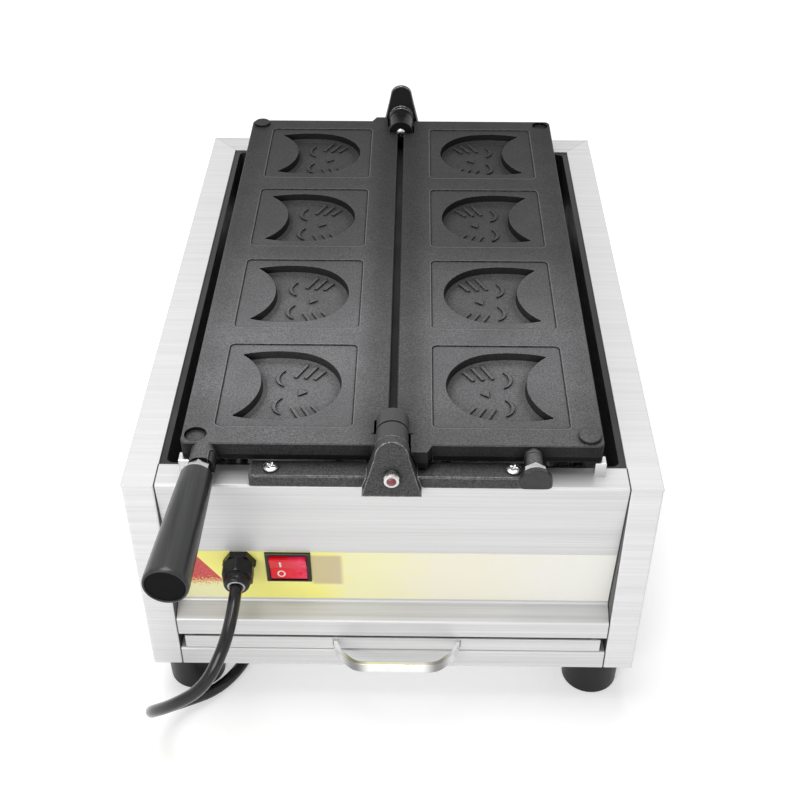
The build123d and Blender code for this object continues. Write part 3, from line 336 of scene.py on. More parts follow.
def handling_effect():
    """Faint marks of handling: soft smears that change the gloss."""
    inputs = [("Vector", "NodeSocketVector", None), ("Scale", "NodeSocketFloat", 30.0)]
    tree, start, end = new_group("handling_marks", inputs, [("Smear", "NodeSocketFloat")])
    warped = noise(tree, start, "Scale", 6.0, 0.6, 0.6)
    tree.links.new(spread(tree, warped, 0.0, 1.0, 0.35, 0.7), end.inputs["Smear"])
    return tree


def hollow_effect():
    """A mask of painted shade in grooves, corners and hollows: 1 deep inside, 0 on open faces."""
    inputs = [("Distance", "NodeSocketFloat", 0.008), ("Strength", "NodeSocketFloat", 1.0)]
    tree, start, end = new_group("painted_hollow_shade", inputs, [("Depth", "NodeSocketFloat")])
    open_share = add(tree, "ShaderNodeAmbientOcclusion", samples=8)
    tree.links.new(start.outputs["Distance"], open_share.inputs["Distance"])
    closed = spread(tree, open_share.outputs["AO"], 1.0, 0.0, 0.25, 0.92)
    tree.links.new(product(tree, closed, start.outputs["Strength"]), end.inputs["Depth"])
    return tree


brushed = brushed_effect()
soft_edges = soft_edge_effect()
hollows = hollow_effect()
cast_grain = cast_grain_effect()
handling = handling_effect()
along_x = (7.0, 900.0, 900.0)
along_y = (900.0, 7.0, 900.0)


def new_finish(name, metallic=0.0, edge=0.0, coat=0.0, coat_roughness=0.03, gloss=0.5):
    """A material with its shader, the piece's own coordinates, and its soft edges where it has them."""
    material = bpy.data.materials.new(name)
    material.use_nodes = True
    tree = material.node_tree
    shader = tree.nodes["Principled BSDF"]
    shader.inputs["Metallic"].default_value = metallic
    shader.inputs["Coat Weight"].default_value = coat
    shader.inputs["Coat Roughness"].default_value = coat_roughness
    shader.inputs["Specular IOR Level"].default_value = gloss
    place = add(tree, "ShaderNodeTexCoord").outputs["Object"]
    edges = None
    if edge:
        edges = use_group(tree, soft_edges, place, {"Radius": edge})
        tree.links.new(edges.outputs["Normal"], shader.inputs["Normal"])
    return material, tree, shader, place, edges


def add_bump(tree, shader, height, distance, strength, edges=None):
    """Relief from a height, on top of the soft edges where there are some."""
    bump = add(tree, "ShaderNodeBump", {"Strength": strength, "Distance": distance})
    tree.links.new(height, bump.inputs["Height"])
    if edges:
        tree.links.new(edges.outputs["Normal"], bump.inputs["Normal"])
    tree.links.new(bump.outputs["Normal"], shader.inputs["Normal"])


def set_finish(tree, shader, colour, roughness):
    """Links a colour and a roughness to the shader."""
    tree.links.new(colour, shader.inputs["Base Color"])
    tree.links.new(roughness, shader.inputs["Roughness"])


def two_tone(name, effect, values, tones, roughness, relief=None, **finish):
    """A finish between two colours and two roughnesses, by the last output of one shared effect.

    relief is the bump's distance and strength. Its height is the effect's first output.
    """
    material, tree, shader, place, edges = new_finish(name, **finish)
    made = use_group(tree, effect, place, values)
    mask = made.outputs[-1]
    set_finish(tree, shader, mixed(tree, mask, *tones), spread(tree, mask, *roughness))
    if relief:
        add_bump(tree, shader, made.outputs[0], *relief, edges)
    return material


def band_of(tree, value, low, high, soft):
    """A mask that is 1 where a value lies between two others, fading out over a soft margin."""
    up = spread(tree, value, 0.0, 1.0, low - soft, low + soft, smooth=True)
    down = spread(tree, value, 1.0, 0.0, high - soft, high + soft, smooth=True)
    return product(tree, up, down)


def rear_share(tree, along, most):
    """A mask that is 0 before the casing's middle and rises to its most behind it."""
    margin = 0.05
    return spread(tree, along, 0.0, most, casing_middle - margin, casing_middle + margin)


def brushed_steel(name, light, dark, painted_top_share):
    """Brushed stainless sheet: its grain runs across the front and the flanges, and along the two sides.

    Faces that look up are darkened by a painted reflection of the dim end of the room: their tone is a share,
    set by the last argument, of the others'.
    A dark line marks the seam on either side of the front panel.
    """
    material, tree, shader, place, edges = new_finish(name, metallic=0.45, edge=0.0007)
    across = use_group(tree, brushed, place, {"Stretch": along_x})
    along = use_group(tree, brushed, place, {"Stretch": along_y})
    sideways, _, skyward = own_normal(tree)
    side_face = spread(tree, size_of(tree, sideways), 0.0, 1.0, 0.6, 0.8)
    other_face = difference(tree, 1.0, side_face)
    tone, height = (worked(tree, "ADD", product(tree, along.outputs[key], side_face),
                           product(tree, across.outputs[key], other_face)) for key in ("Tone", "Height"))
    # Painted reflection: faces that look up are darkened towards black.
    painted_top_reflection = spread(tree, skyward, 0.0, 1.0 - painted_top_share, 0.5, 0.9)
    toned = mixed(tree, painted_top_reflection, mixed(tree, tone, dark, light), grey(0.0))
    x, y, _ = axes(tree, place)
    seam_inner, seam_outer = (seam_x - 0.5) * millimetre, (seam_x + 0.45) * millimetre
    last_full, first_none = (casing_middle + (front_end + margin) * millimetre for margin in (-0.5, 0.5))
    seam = product(tree, spread(tree, y, 1.0, 0.0, last_full, first_none),
                   band_of(tree, size_of(tree, x), seam_inner, seam_outer, 0.00015))
    toned = mixed(tree, product(tree, seam, 0.9), toned, grey(0.02))
    set_finish(tree, shader, toned, spread(tree, tone, 0.58, 0.46))
    add_bump(tree, shader, height, 0.00005, 0.5, edges)
    return material


def recess_edge(tree, across, along):
    """Distance outwards from the nearest recess's outline: round-cornered squares, four along each plate."""
    inner_half = (recess_half - recess_corner) * millimetre
    half_pitch = cat_pitch * millimetre / 2
    wrapped = add(tree, "ShaderNodeMath", operation="WRAP")
    tree.links.new(difference(tree, along, casing_middle + half_pitch), wrapped.inputs[0])
    wrapped.inputs[1].default_value = half_pitch
    wrapped.inputs[2].default_value = -half_pitch
    squares = []
    for from_middle in (difference(tree, across, cat_x * millimetre), wrapped.outputs[0]):
        past_straight = worked(tree, "MAXIMUM", difference(tree, size_of(tree, from_middle), inner_half), 0.0)
        squares.append(product(tree, past_straight, past_straight))
    return difference(tree, worked(tree, "SQRT", worked(tree, "ADD", *squares)), recess_corner * millimetre)


def mould_coat():
    """Dark non-stick coat on the cast plates: grey, matte and speckled.

    Darker, in this order: the right plate, the rear half and the rear end as a painted reflection of a dim
    room, the front end, the outer edge, and, as painted shade, the inner edge beside the gap, the sunk faces,
    the walls and the hollows. Each recess has a painted shade line inside its outline and a painted highlight
    outside it.
    The knuckles are dark rings, darker at the rear by the same painted reflection, with a black gap between
    them.
    """
    material, tree, shader, place, edges = new_finish("mould_coat", edge=0.0005, gloss=0.07)
    grain = use_group(tree, cast_grain, place, {"Scale": 1100.0, "Clouds": 26.0})
    hollow = use_group(tree, hollows, None, {"Distance": 0.010}).outputs["Depth"]
    small_hollow = use_group(tree, hollows, None, {"Distance": 0.0026, "Strength": 0.9}).outputs["Depth"]
    x, y, z = axes(tree, place)
    across = size_of(tree, x)
    from_middle = difference(tree, y, casing_middle)
    along = size_of(tree, from_middle)
    dark_coat_and_painted_shade = grey(0.004)
    black = grey(0.002)
    sunk_deep, sunk_little = (plate_top - 0.6) * millimetre, (plate_top - 0.2) * millimetre
    sunk = spread(tree, z, 1.0, 0.0, sunk_deep, sunk_little)
    upright = spread(tree, size_of(tree, own_normal(tree)[2]), 0.78, 0.0, 0.3, 0.9)
    speckled = mixed(tree, grain.outputs["Speckle"], (0.092, 0.092, 0.095), (0.215, 0.215, 0.220))
    clouds = spread(tree, grain.outputs["Tone"], 0.0, 0.4, 0.35, 0.65)
    toned = mixed(tree, clouds, speckled, (0.096, 0.096, 0.099))
    # Darker shares of the coat: the two towards the rear are a painted reflection of a dim room; the inner
    # edge, the sunk faces and the walls are painted shade.
    darkened_shares = [spread(tree, x, 0.0, 0.14, -0.01, 0.01),
              spread(tree, from_middle, 0.0, 0.56, -0.11, 0.01),
              spread(tree, from_middle, 0.0, 0.45, 0.01, 0.20),
              spread(tree, from_middle, 0.0, 0.20, -0.17, -0.21),
              spread(tree, across, 0.0, 0.18, 0.117, 0.130),
              spread(tree, across, 0.40, 0.0, 0.010, 0.030, smooth=True),
              product(tree, sunk, 0.42),
              upright]
    for share in darkened_shares:
        toned = mixed(tree, share, toned, dark_coat_and_painted_shade)
    # Painted shade: the walls of the sunk faces go near black.
    toned = mixed(tree, product(tree, upright, sunk), toned, black)
    # Painted shade in the hollows, broad and fine.
    toned = mixed(tree, hollow, toned, dark_coat_and_painted_shade)
    toned = mixed(tree, small_hollow, toned, black)
    outward = recess_edge(tree, across, y)
    # Painted shade in a thin line just inside each recess's outline, and a painted highlight just outside it.
    painted_groove_shade = band_of(tree, outward, -0.0008, 0.0001, 0.0003)
    painted_edge_highlight = band_of(tree, outward, 0.0002, 0.0007, 0.0002)
    toned = mixed(tree, product(tree, painted_groove_shade, 0.85), toned, dark_coat_and_painted_shade)
    near_axis = spread(tree, across, 1.0, 0.0, ring_side * millimetre, (ring_side + 1.5) * millimetre)
    at_end = spread(tree, along, 0.0, 1.0, ring_start * millimetre, (ring_start + 1.0) * millimetre)
    knuckle = product(tree, near_axis, at_end)
    gap = band_of(tree, along, (ring_end - 0.5) * millimetre, (ring_end + 0.9) * millimetre, 0.0002)
    # The rear knuckles are darker by the same painted reflection as the rear of the plates, and their hollows
    # take painted shade.
    ring = mixed(tree, rear_share(tree, y, 1.0), (0.075, 0.075, 0.077), grey(0.012))
    ring = mixed(tree, gap, ring, grey(0.001))
    ring = mixed(tree, hollow, ring, black)
    dark = mixed(tree, knuckle, toned, ring)
    dark = mixed(tree, product(tree, painted_edge_highlight, 0.16), dark, grey(0.5))
    # Lighter along the edges: partly rubbed coat, partly a painted edge highlight.
    rubbed = product(tree, edges.outputs["Wear"], difference(tree, 1.0, gap))
    rim = mixed(tree, spread(tree, rubbed, 0.0, 0.5), dark, grey(0.40))
    rough = spread(tree, grain.outputs["Speckle"], 0.56, 0.42)
    set_finish(tree, shader, rim, product(tree, rough, spread(tree, knuckle, 1.0, 0.6)))
    add_bump(tree, shader, grain.outputs["Height"], 0.00013, 0.45, edges)
    return material


def bracket_iron():
    """Dark painted casting, near black at the rear and in its hollows as painted shade, whose paint is rubbed
    to bare metal along its edges.
    """
    material, tree, shader, place, edges = new_finish("bracket_iron", edge=0.0014, gloss=0.3)
    grain = use_group(tree, cast_grain, place, {"Scale": 1100.0})
    hollow = use_group(tree, hollows, None, {"Distance": 0.009})
    bare = edges.outputs["Wear"]
    paint = mixed(tree, grain.outputs["Speckle"], (0.016, 0.016, 0.017), (0.078, 0.079, 0.081))
    # Painted shade: near black towards the rear and in the hollows.
    paint = mixed(tree, rear_share(tree, axes(tree, place)[1], 0.85), paint, grey(0.004))
    paint = mixed(tree, hollow.outputs["Depth"], paint, grey(0.005))
    rubbed = mixed(tree, bare, paint, (0.52, 0.52, 0.51))
    set_finish(tree, shader, rubbed, spread(tree, grain.outputs["Tone"], 0.58, 0.42))
    tree.links.new(spread(tree, bare, 0.0, 0.7), shader.inputs["Metallic"])
    add_bump(tree, shader, grain.outputs["Height"], 0.0003, 0.6, edges)
    return material


def heat_enamel(name, clean, sooty):
    """Black heat-proof enamel, dulled by soot and crumbs in soft patches."""
    material, tree, shader, place, edges = new_finish(name, edge=0.0007, gloss=0.3)
    smear = use_group(tree, handling, place, {"Scale": 22.0}).outputs["Smear"]
    grain = use_group(tree, cast_grain, place, {"Scale": 500.0})
    set_finish(tree, shader, mixed(tree, smear, clean, sooty), spread(tree, smear, 0.35, 0.6))
    add_bump(tree, shader, grain.outputs["Height"], 0.00015, 0.4, edges)
    return material


def polished_strip():
    """Polished strip of the pull handle: bright in the middle, with darker bands at its two bends as a
    painted reflection.
    """
    material, tree, shader, place, _ = new_finish("polished_strip", metallic=1.0, edge=0.0006)
    smear = use_group(tree, handling, place, {"Scale": 60.0}).outputs["Smear"]
    from_middle = size_of(tree, difference(tree, axes(tree, place)[0], handle_middle * millimetre))
    # Painted reflection: darker bands at the two bends.
    painted_bend_reflection = product(tree, band_of(tree, from_middle, 0.0235, 0.0365, 0.0055), 0.8)
    bright = mixed(tree, smear, grey(0.88), grey(0.80))
    set_finish(tree, shader, mixed(tree, painted_bend_reflection, bright, (0.12, 0.12, 0.125)), spread(tree, smear, 0.09, 0.17))
    return material


def black_plastic():
    """Moulded black plastic of the gland, the switch's bezel and the plug, with a fine spark-eroded skin."""
    material, tree, shader, place, edges = new_finish("black_plastic", edge=0.0006, coat=0.25,
                                                      coat_roughness=0.14, gloss=0.15)
    grain = use_group(tree, cast_grain, place, {"Scale": 2600.0})
    dark = mixed(tree, grain.outputs["Tone"], grey(0.003), grey(0.007))
    worn = mixed(tree, spread(tree, edges.outputs["Wear"], 0.0, 0.3), dark, grey(0.20))
    set_finish(tree, shader, worn, spread(tree, grain.outputs["Tone"], 0.44, 0.34))
    add_bump(tree, shader, grain.outputs["Height"], 0.00005, 0.4, edges)
    return material


def foot_rubber():
    """Smooth black rubber of the feet, dusty in places and lighter grey along its lower rim."""
    material, tree, shader, place, _ = new_finish("foot_rubber", edge=0.0008, gloss=0.25)
    smear = use_group(tree, handling, place, {"Scale": 70.0}).outputs["Smear"]
    rubber = mixed(tree, smear, grey(0.005), (0.012, 0.012, 0.011))
    lighter_lower_rim = spread(tree, axes(tree, place)[2], 0.7, 0.0, 0.0008, 0.0024)
    set_finish(tree, shader, mixed(tree, lighter_lower_rim, rubber, (0.16, 0.16, 0.155)), spread(tree, smear, 0.34, 0.5))
    return material


def band_film():
    """Printed film: yellow up to the switch, then cream and white, with a plain red wedge at its left end.

    A beige patch lies right of the switch. Its places are in millimetres across and down the slope.
    """
    material, tree, shader, place, _ = new_finish("band_film", coat=0.2, gloss=0.35)
    x, _, z = axes(tree, place)
    across = product(tree, x, 1000.0)
    slope = product(tree, difference(tree, deck, product(tree, z, 1000.0)), float(panel_slope / panel_drop))
    grain = use_group(tree, cast_grain, place, {"Scale": 700.0, "Clouds": 60.0})
    ragged = worked(tree, "ADD", slope, spread(tree, grain.outputs["Speckle"], -3.5, 3.5))
    wavy = worked(tree, "ADD", across, spread(tree, grain.outputs["Tone"], -9.0, 9.0, 0.3, 0.7))
    faded = plain_colour(254, 248, 136)
    pale = plain_colour(252, 248, 196)
    cream = plain_colour(250, 245, 224)
    white = plain_colour(250, 249, 242)
    for colour, fade_from, fade_to in ((pale, -60.0, -22.0), (cream, -25.0, 45.0), (white, 40.0, 135.0)):
        faded = mixed(tree, spread(tree, wavy, 0.0, 1.0, fade_from, fade_to, smooth=True), faded, colour)
    patch = product(tree, band_of(tree, across, -56.0, -35.0, 2.0), band_of(tree, slope, 72.0, 104.0, 1.5))
    faded = mixed(tree, product(tree, patch, 0.85), faded, plain_colour(206, 188, 150))
    dusty = product(tree, spread(tree, across, 1.0, 0.0, -116.0, -104.0, smooth=True),
                    spread(tree, ragged, 0.0, 1.0, 98.0, 106.0))
    faded = mixed(tree, product(tree, dusty, 0.75), faded, plain_colour(240, 238, 200))
    wedge_left, wedge_steepness = -133.7, 1.727
    wedge_line = difference(tree, slope, product(tree, difference(tree, across, wedge_left), wedge_steepness))
    wedge = product(tree, spread(tree, wedge_line, 0.0, 1.0, 74.2, 74.8),
                    spread(tree, ragged, 1.0, 0.0, 98.0, 105.5))
    red = mixed(tree, grain.outputs["Speckle"], plain_colour(196, 62, 62), plain_colour(218, 92, 88))
    set_finish(tree, shader, mixed(tree, wedge, faded, red), spread(tree, grain.outputs["Tone"], 0.32, 0.42))
    return material


def rocker_red():
    """Glossy translucent red of the rocker, with a faint painted glow, lighter pink towards its right side as
    a painted reflection.
    """
    material, tree, shader, place, _ = new_finish("rocker_red", edge=0.0005, coat=0.1, gloss=0.15)
    smear = use_group(tree, handling, place, {"Scale": 260.0}).outputs["Smear"]
    # Painted reflection: lighter pink towards the right side.
    painted_right_reflection = spread(tree, axes(tree, place)[0], 0.0, 1.0, -0.0760, -0.0600)
    red_and_painted_glow = mixed(tree, product(tree, painted_right_reflection, smear), (0.66, 0.002, 0.008), (0.84, 0.050, 0.170))
    # Painted glow: the red also shines faintly as emission.
    tree.links.new(red_and_painted_glow, shader.inputs["Emission Color"])
    shader.inputs["Emission Strength"].default_value = 0.16
    set_finish(tree, shader, red_and_painted_glow, spread(tree, smear, 0.12, 0.2))
    return material


# Brushed sheet of the front and of the sides
front_steel = brushed_steel("brushed_front", grey(0.78), grey(0.60), 0.80)
side_steel = brushed_steel("brushed_side", grey(0.82), grey(0.70), 0.78)

# Zinc-plated screws and nuts: bright, a little cloudy
plated = two_tone("plated_steel", handling, {"Scale": 180.0}, ((0.66, 0.66, 0.65), grey(0.44)), (0.18, 0.34),
                  metallic=1.0, edge=0.0004)

# Milled faces of the pads that the plates come down on
milled = two_tone("rest_pad_steel", brushed, {"Stretch": along_x}, (grey(0.60), (0.85, 0.85, 0.84)),
                  (0.34, 0.22), metallic=1.0, edge=0.0005)

# Steel tube of the elements, browned by heat
browned = two_tone("heated_tube", handling, {"Scale": 65.0}, ((0.15, 0.125, 0.11), (0.27, 0.22, 0.18)),
                   (0.45, 0.62), metallic=0.7)

# Brass of the bushes and the plug's pins, lightly tarnished
brass = two_tone("plain_brass", handling, {"Scale": 150.0}, ((0.76, 0.58, 0.28), (0.55, 0.40, 0.19)),
                 (0.2, 0.38), metallic=1.0, edge=0.0003)

# Off-white insulator of the terminal strip and the cut-out
ceramic = two_tone("off_white_ceramic", cast_grain, {"Scale": 1500.0},
                   ((0.70, 0.67, 0.60), (0.80, 0.78, 0.73)), (0.5, 0.65), edge=0.0006)

# Glossy black phenolic of the grips, with the flow lines of the moulding along them
phenolic = two_tone("grip_phenolic", brushed, {"Stretch": (520.0, 9.0, 520.0)},
                    ((0.006, 0.006, 0.007), (0.030, 0.031, 0.032)), (0.42, 0.26), (0.00006, 0.35),
                    edge=0.0006, coat=0.35, coat_roughness=0.16, gloss=0.25)

# Dull black bottom of the grip's sunk end
dull_black = two_tone("grip_plug", cast_grain, {"Scale": 900.0}, (grey(0.003), grey(0.008)), (0.7, 0.5),
                      gloss=0.06)

# Smooth glossy black sheath of the cord, with the slight waviness of the cores under it
sheath = two_tone("cord_sheath", handling, {"Scale": 120.0}, (grey(0.003), grey(0.009)), (0.20, 0.25),
                  (0.00005, 0.1), coat=0.3, coat_roughness=0.1, gloss=0.25)

# White paint of the switch's two marks, slightly uneven
white_paint = two_tone("printed_white", handling, {"Scale": 900.0}, ((0.86, 0.84, 0.84), (0.74, 0.68, 0.69)),
                       (0.35, 0.5))

# Drops of red locking paint on the bolts, glossy and lumpy
red_paint = two_tone("thread_paint", handling, {"Scale": 700.0}, ((0.15, 0.012, 0.016), (0.24, 0.030, 0.036)),
                     (0.22, 0.36), (0.0003, 0.4), coat=0.4)

# Glossy seal in the gland's mouth, light grey as a painted highlight
seal = two_tone("gland_seal_painted_highlight", handling, {"Scale": 420.0}, ((0.30, 0.30, 0.305), grey(0.62)), (0.18, 0.32),
                coat=0.8, coat_roughness=0.08)

# Materials on the model's own pieces
plastic = black_plastic()
finishes = {
    front_steel: ["front_panel", "lower_front_rail", "rear_panel", "drawer_tray"],
    side_steel: ["left_side_panel", "right_side_panel", "base_pan", "drawer_runners", "left_heater_supports",
                 "right_heater_supports"],
    mould_coat(): ["left_mould_plate", "right_mould_plate"],
    bracket_iron(): ["front_hinge_bracket", "rear_hinge_bracket"],
    heat_enamel("chamber_enamel", (0.014, 0.014, 0.015), (0.036, 0.035, 0.034)): ["chamber_liner"],
    # The beam's enamel is darker than the chamber's: painted shade in the gap between the plates.
    heat_enamel("beam_enamel_painted_shade", grey(0.005), grey(0.012)): ["centre_beam"],
    plated: ["foot_screws", "bracket_screws", "pillar_bolts", "front_hinge_pin", "rear_hinge_pin",
             "left_grip_stud", "right_grip_stud", "left_grip_nut", "right_grip_nut"],
    polished_strip(): ["drawer_handle"],
    milled: ["rest_pads"],
    phenolic: ["left_grip", "right_grip"],
    plastic: ["switch_body", "gland_body", "gland_cap_nut", "gland_locknut", "plug_body"],
    foot_rubber(): ["front_left_foot", "front_right_foot", "rear_left_foot", "rear_right_foot"],
    band_film(): ["label_band"],
    rocker_red(): ["switch_rocker"],
    ceramic: ["thermal_cutout", "terminal_block"],
    brass: ["plug_pins", "left_heater_bushes", "right_heater_bushes"],
    browned: ["left_heater", "right_heater"],
}
for material, names in finishes.items():
    for name in names:
        data = parts[name].data
        data.materials.clear()
        data.materials.append(material)
cord.data.materials.append(sheath)


# New pieces, in millimetres about the casing's middle

def shell(name, grids, body, material, stands_for=(), sharp=32.0):
    """One mesh from grids of points, rows by columns, each of them closed, with a quad between neighbours."""
    spots, faces, start = [], [], 0
    for grid in grids:
        rows, columns = grid.shape[:2]
        index = start + np.arange(rows * columns).reshape(rows, columns)
        corners = (index[:-1, :-1], index[:-1, 1:], index[1:, 1:], index[1:, :-1])
        faces.append(np.stack(corners, -1).reshape(-1, 4))
        spots.append(grid.reshape(-1, 3))
        start += rows * columns
    mesh = bpy.data.meshes.new(name)
    mesh.from_pydata(placed(np.vstack(spots)).tolist(), [], np.vstack(faces).tolist())
    work = bmesh.new()
    work.from_mesh(mesh)
    bmesh.ops.remove_doubles(work, verts=work.verts, dist=1e-6)
    bmesh.ops.recalc_face_normals(work, faces=work.faces)
    work.to_mesh(mesh)
    work.free()
    mesh.shade_smooth()
    mesh.set_sharp_from_angle(angle=radians(sharp))
    mesh.materials.append(material)
    piece = bpy.data.objects.new(name, mesh)
    bpy.context.scene.collection.objects.link(piece)
    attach(piece, body)
    if stands_for:
        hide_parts(*stands_for)
    return piece


def turned(start, way, flat_side, rows, sides=72):
    """Rows of (along, across flats, limit) turned about an axis that leaves start along way.

    The radius at an angle is half the size across flats over the cosine of the angle from the nearest flat's
    middle, and never more than the limit. A row whose limit is half its size across flats is therefore round.
    """
    along = np.asarray(way, float) / np.linalg.norm(way)
    up = np.asarray(flat_side, float) - along * np.dot(flat_side, along)
    up = up / np.linalg.norm(up)
    right = np.cross(along, up)
    rows = np.asarray(rows, float)
    angle = np.linspace(0, 2 * pi, sides + 1)
    off_flat = (angle + pi / 6) % (pi / 3) - pi / 6
    radius = np.minimum(rows[:, 1:2] / 2 / np.cos(off_flat), rows[:, 2:3])
    ring = np.cos(angle)[:, None] * up + np.sin(angle)[:, None] * right
    return np.asarray(start, float) + rows[:, 0, None, None] * along + radius[..., None] * ring


def bowed(wave, power):
    """A sine or cosine made squarer by a power under 1, with its sign kept."""
    return np.sign(wave) * np.abs(wave) ** power


def round_rows(pairs):
    """Rows for turned from (along, radius)."""
    return [(along, 2 * radius, radius) for along, radius in pairs]


def fillet_rows(from_point, corner, to_point, steps=6):
    """Rows along a quadratic curve between two (along, radius) points, drawn towards their corner."""
    share = np.linspace(0, 1, steps + 1)[:, None]
    start, middle, end = (np.asarray(point, float) for point in (from_point, corner, to_point))
    curve = (1 - share) ** 2 * start + 2 * share * (1 - share) * middle + share ** 2 * end
    return [tuple(row) for row in curve]


# Directions: upwards, and out of each lug along its handle
up = np.array([0.0, 0.0, 1.0])
lean = radians(3.2)
left_way = np.array([-sin(lean), -cos(lean), 0.0])
right_way = np.array([0.0, -1.0, 0.0])

# Brackets and hinge, as in the model
bar_top = deck + 9.0
bar_screw_x = 78.0
bar_screw_y = 233.0
hinge_axis = deck + 25.0
bolt_height = hinge_axis - 11.0
bolt_seats = ((-1, 246.35), (1, 247.30))

# Lugs, handles and the right handle's stub
lug_height = hinge_axis - 8.0
lug_middle = -121.0
right_lug_middle = 90.6
lug_reach = 14.0
plate_end = 227.0
grip_start = 22.5
stub_half = 10.4
stub_drop = 5.6

# Switch
switch_x = -71.8
switch_slope = 84.0
rocker_tilt = radians(8.0)


def quarter_turn():
    """Angles from 0 to 90 degrees."""
    return np.linspace(0, pi / 2, 9)


def screw_head(x, y):
    """A pan head whose top falls with the fourth power of the radius, with a sunk cross, a shank and a nut.

    The cross is as deep as 1 less a point's distance from the nearer arm's middle, over the arm's half width,
    and gets shallower towards the arm's end.
    """
    head_radius, head_height, crown = 4.9, 2.6, 0.9
    arm, arm_half, arm_end, sunk = 2.9, 0.85, 0.7, 1.5
    turn = radians(24.0)
    radius = np.linspace(0, head_radius, 27)[:, None]
    angle = np.linspace(0, 2 * pi, 97)[None, :]
    from_arm = np.minimum(np.abs(radius * np.cos(angle + turn)), np.abs(radius * np.sin(angle + turn)))
    in_arm = np.clip(1.6 * (1 - from_arm / arm_half), 0, 1) * np.clip((arm - radius) / arm_end, 0, 1)
    cross = sunk * in_arm * np.clip(1.1 - radius / arm * 0.5, 0, 1)
    top = head_height - crown * (radius / head_radius) ** 4 - cross
    face = np.stack([x + radius * np.cos(angle), y + radius * np.sin(angle), bar_top + top], -1)
    side_rows = round_rows([(head_height - crown, head_radius), (0.7, head_radius), (0.05, 4.6), (0.05, 0.0)])
    side = turned((x, y, bar_top), up, (1, 0, 0), side_rows, 96)
    flats, corner, end, height, bevel = 7, 4.04, 3.7, 3.2, 0.4
    nut_rows = [(0, 0, 0), (0, flats, end), (bevel, flats, corner), (height - bevel, flats, corner),
                (height, flats, end), (height, 0, 0)]
    nut = turned((x, y, deck - 4.5), up, (1, 0, 0), nut_rows)
    length, radius = 16.2, 2.0
    shank_rows = round_rows([(0, 0), (0, 1.7), (0.4, radius), (length, radius), (length, 0)])
    shank = turned((x, y, deck - 7), up, (1, 0, 0), shank_rows)
    return [face, side, nut, shank]


def lock_bolt(sign, seat):
    """A hexagon head with its corners chamfered by a cone on both faces, on a shank into the pillar."""
    flats, corner, head, shank_length, shank = 10, 5.78, 4.2, 5, 6
    rows = [(-shank_length, 0, 0), (-shank_length, shank, shank / 2), (0, shank, shank / 2), (0, flats, 5.2),
            (0.45, flats, corner), (3.3, flats, corner), (4.15, flats, 4.85), (head, 8.4, 4.2), (head, 0, 0)]
    return turned((0, sign * seat, bolt_height), (0, sign, 0), (1, 0, 0), rows)


def paint_drop(sign, seat):
    """A round drop on the bolt's end: its radius follows a quarter of an ellipse."""
    radius, foot, bolt_end, rise = 3.2, 4.0, 4.2, 1.4
    share = quarter_turn()
    dome = zip(bolt_end + rise * np.sin(share), radius * np.cos(share))
    rows = round_rows([(foot, 0.0), (foot, radius), *dome])
    return turned((0, sign * seat, bolt_height), (0, sign, 0), (1, 0, 0), rows, 36)


def rear_pin():
    """The rear hinge pin: its near end is a low dome, a quarter of an ellipse, that stands out."""
    start, radius, length, dome_start, dome_height = 203.4, 3.9, 34.4, -0.4, 1.6
    dome = [(dome_start - dome_height * sin(angle), radius * cos(angle)) for angle in quarter_turn()[::-1]]
    rows = round_rows([*dome, (33.8, radius), (length, 3.3), (length, 0.0)])
    return turned((0, start, hinge_axis), (0, 1, 0), (1, 0, 0), rows, 48)


def gland_cap():
    """The gland's clamping nut: a chamfered hexagon, then a dome that rounds into its bored mouth."""
    foot, flats, limit, bore, end = 5.1, 20.4, 11.5, 4.35, 23.3
    rows = [(foot, 2 * bore, bore), (foot, 19.4, 10.5), (5.8, flats, limit), (15.4, flats, limit),
            (16.3, 20.0, 10.4), (16.4, 18.6, 9.3)]
    rows += round_rows(fillet_rows((17.6, 9.3), (22.4, 9.2), (end, 6.9), 8))
    rows += round_rows([(end, 6.5), (21.8, 6.2), (21.8, bore), (foot, bore)])
    return turned(on_panel(gland_x, gland_slope, 0), panel_normal, (0.5, 0, 0.87), rows)


def gland_seal():
    """The rounded seal in the gland's mouth: a ring whose section is an ellipse."""
    round_about = np.linspace(0, 2 * pi, 17)
    middle, half_height, radius, half_width = 22.2, 1.2, 5.4, 1.0
    along = middle + half_height * np.sin(round_about)
    rows = round_rows(zip(along, radius + half_width * np.cos(round_about)))
    return turned(on_panel(gland_x, gland_slope, 0), panel_normal, up, rows)


def grip_nut(middle, way, reach_share):
    """Lock nut between a lug and its grip: a hexagon with a corner on top, chamfered at both ends."""
    low, high = lug_reach + 0.5, grip_start - 0.4
    flats, corner, bevel = 13, 7.5, 0.5
    bore, end = ((width, width / 2) for width in (6.5, 12.2))
    rows = [(low, *bore), (low, *end), (low + bevel, flats, corner), (high - bevel, flats, corner),
            (high, *end), (high, *bore), (low, *bore)]
    rows = [(along * reach_share, across, limit) for along, across, limit in rows]
    return turned((middle, -plate_end, lug_height), way, (1, 0, 0), rows)


def right_stub():
    """The right handle's short stub: half a circle above, and below it a superellipse with a flat foot."""
    angle = np.linspace(0, 2 * pi, 73)[None, :]
    rows = np.array([(0.0, 0.0), (0.0, 0.94), (0.5, 1.0), (3.3, 1.0), (4.0, 0.94), (4.0, 0.0)])
    along, share = rows[:, :1], rows[:, 1:]
    below = np.sin(angle) < 0
    power = np.where(below, 0.35, 1.0)
    half_height = np.where(below, stub_drop, stub_half)
    x = stub_half * bowed(np.cos(angle), power)
    z = half_height * bowed(np.sin(angle), power)
    y = -plate_end - grip_start - along + 0 * x
    return np.stack([right_lug_middle + share * x, y, lug_height + share * z], -1)


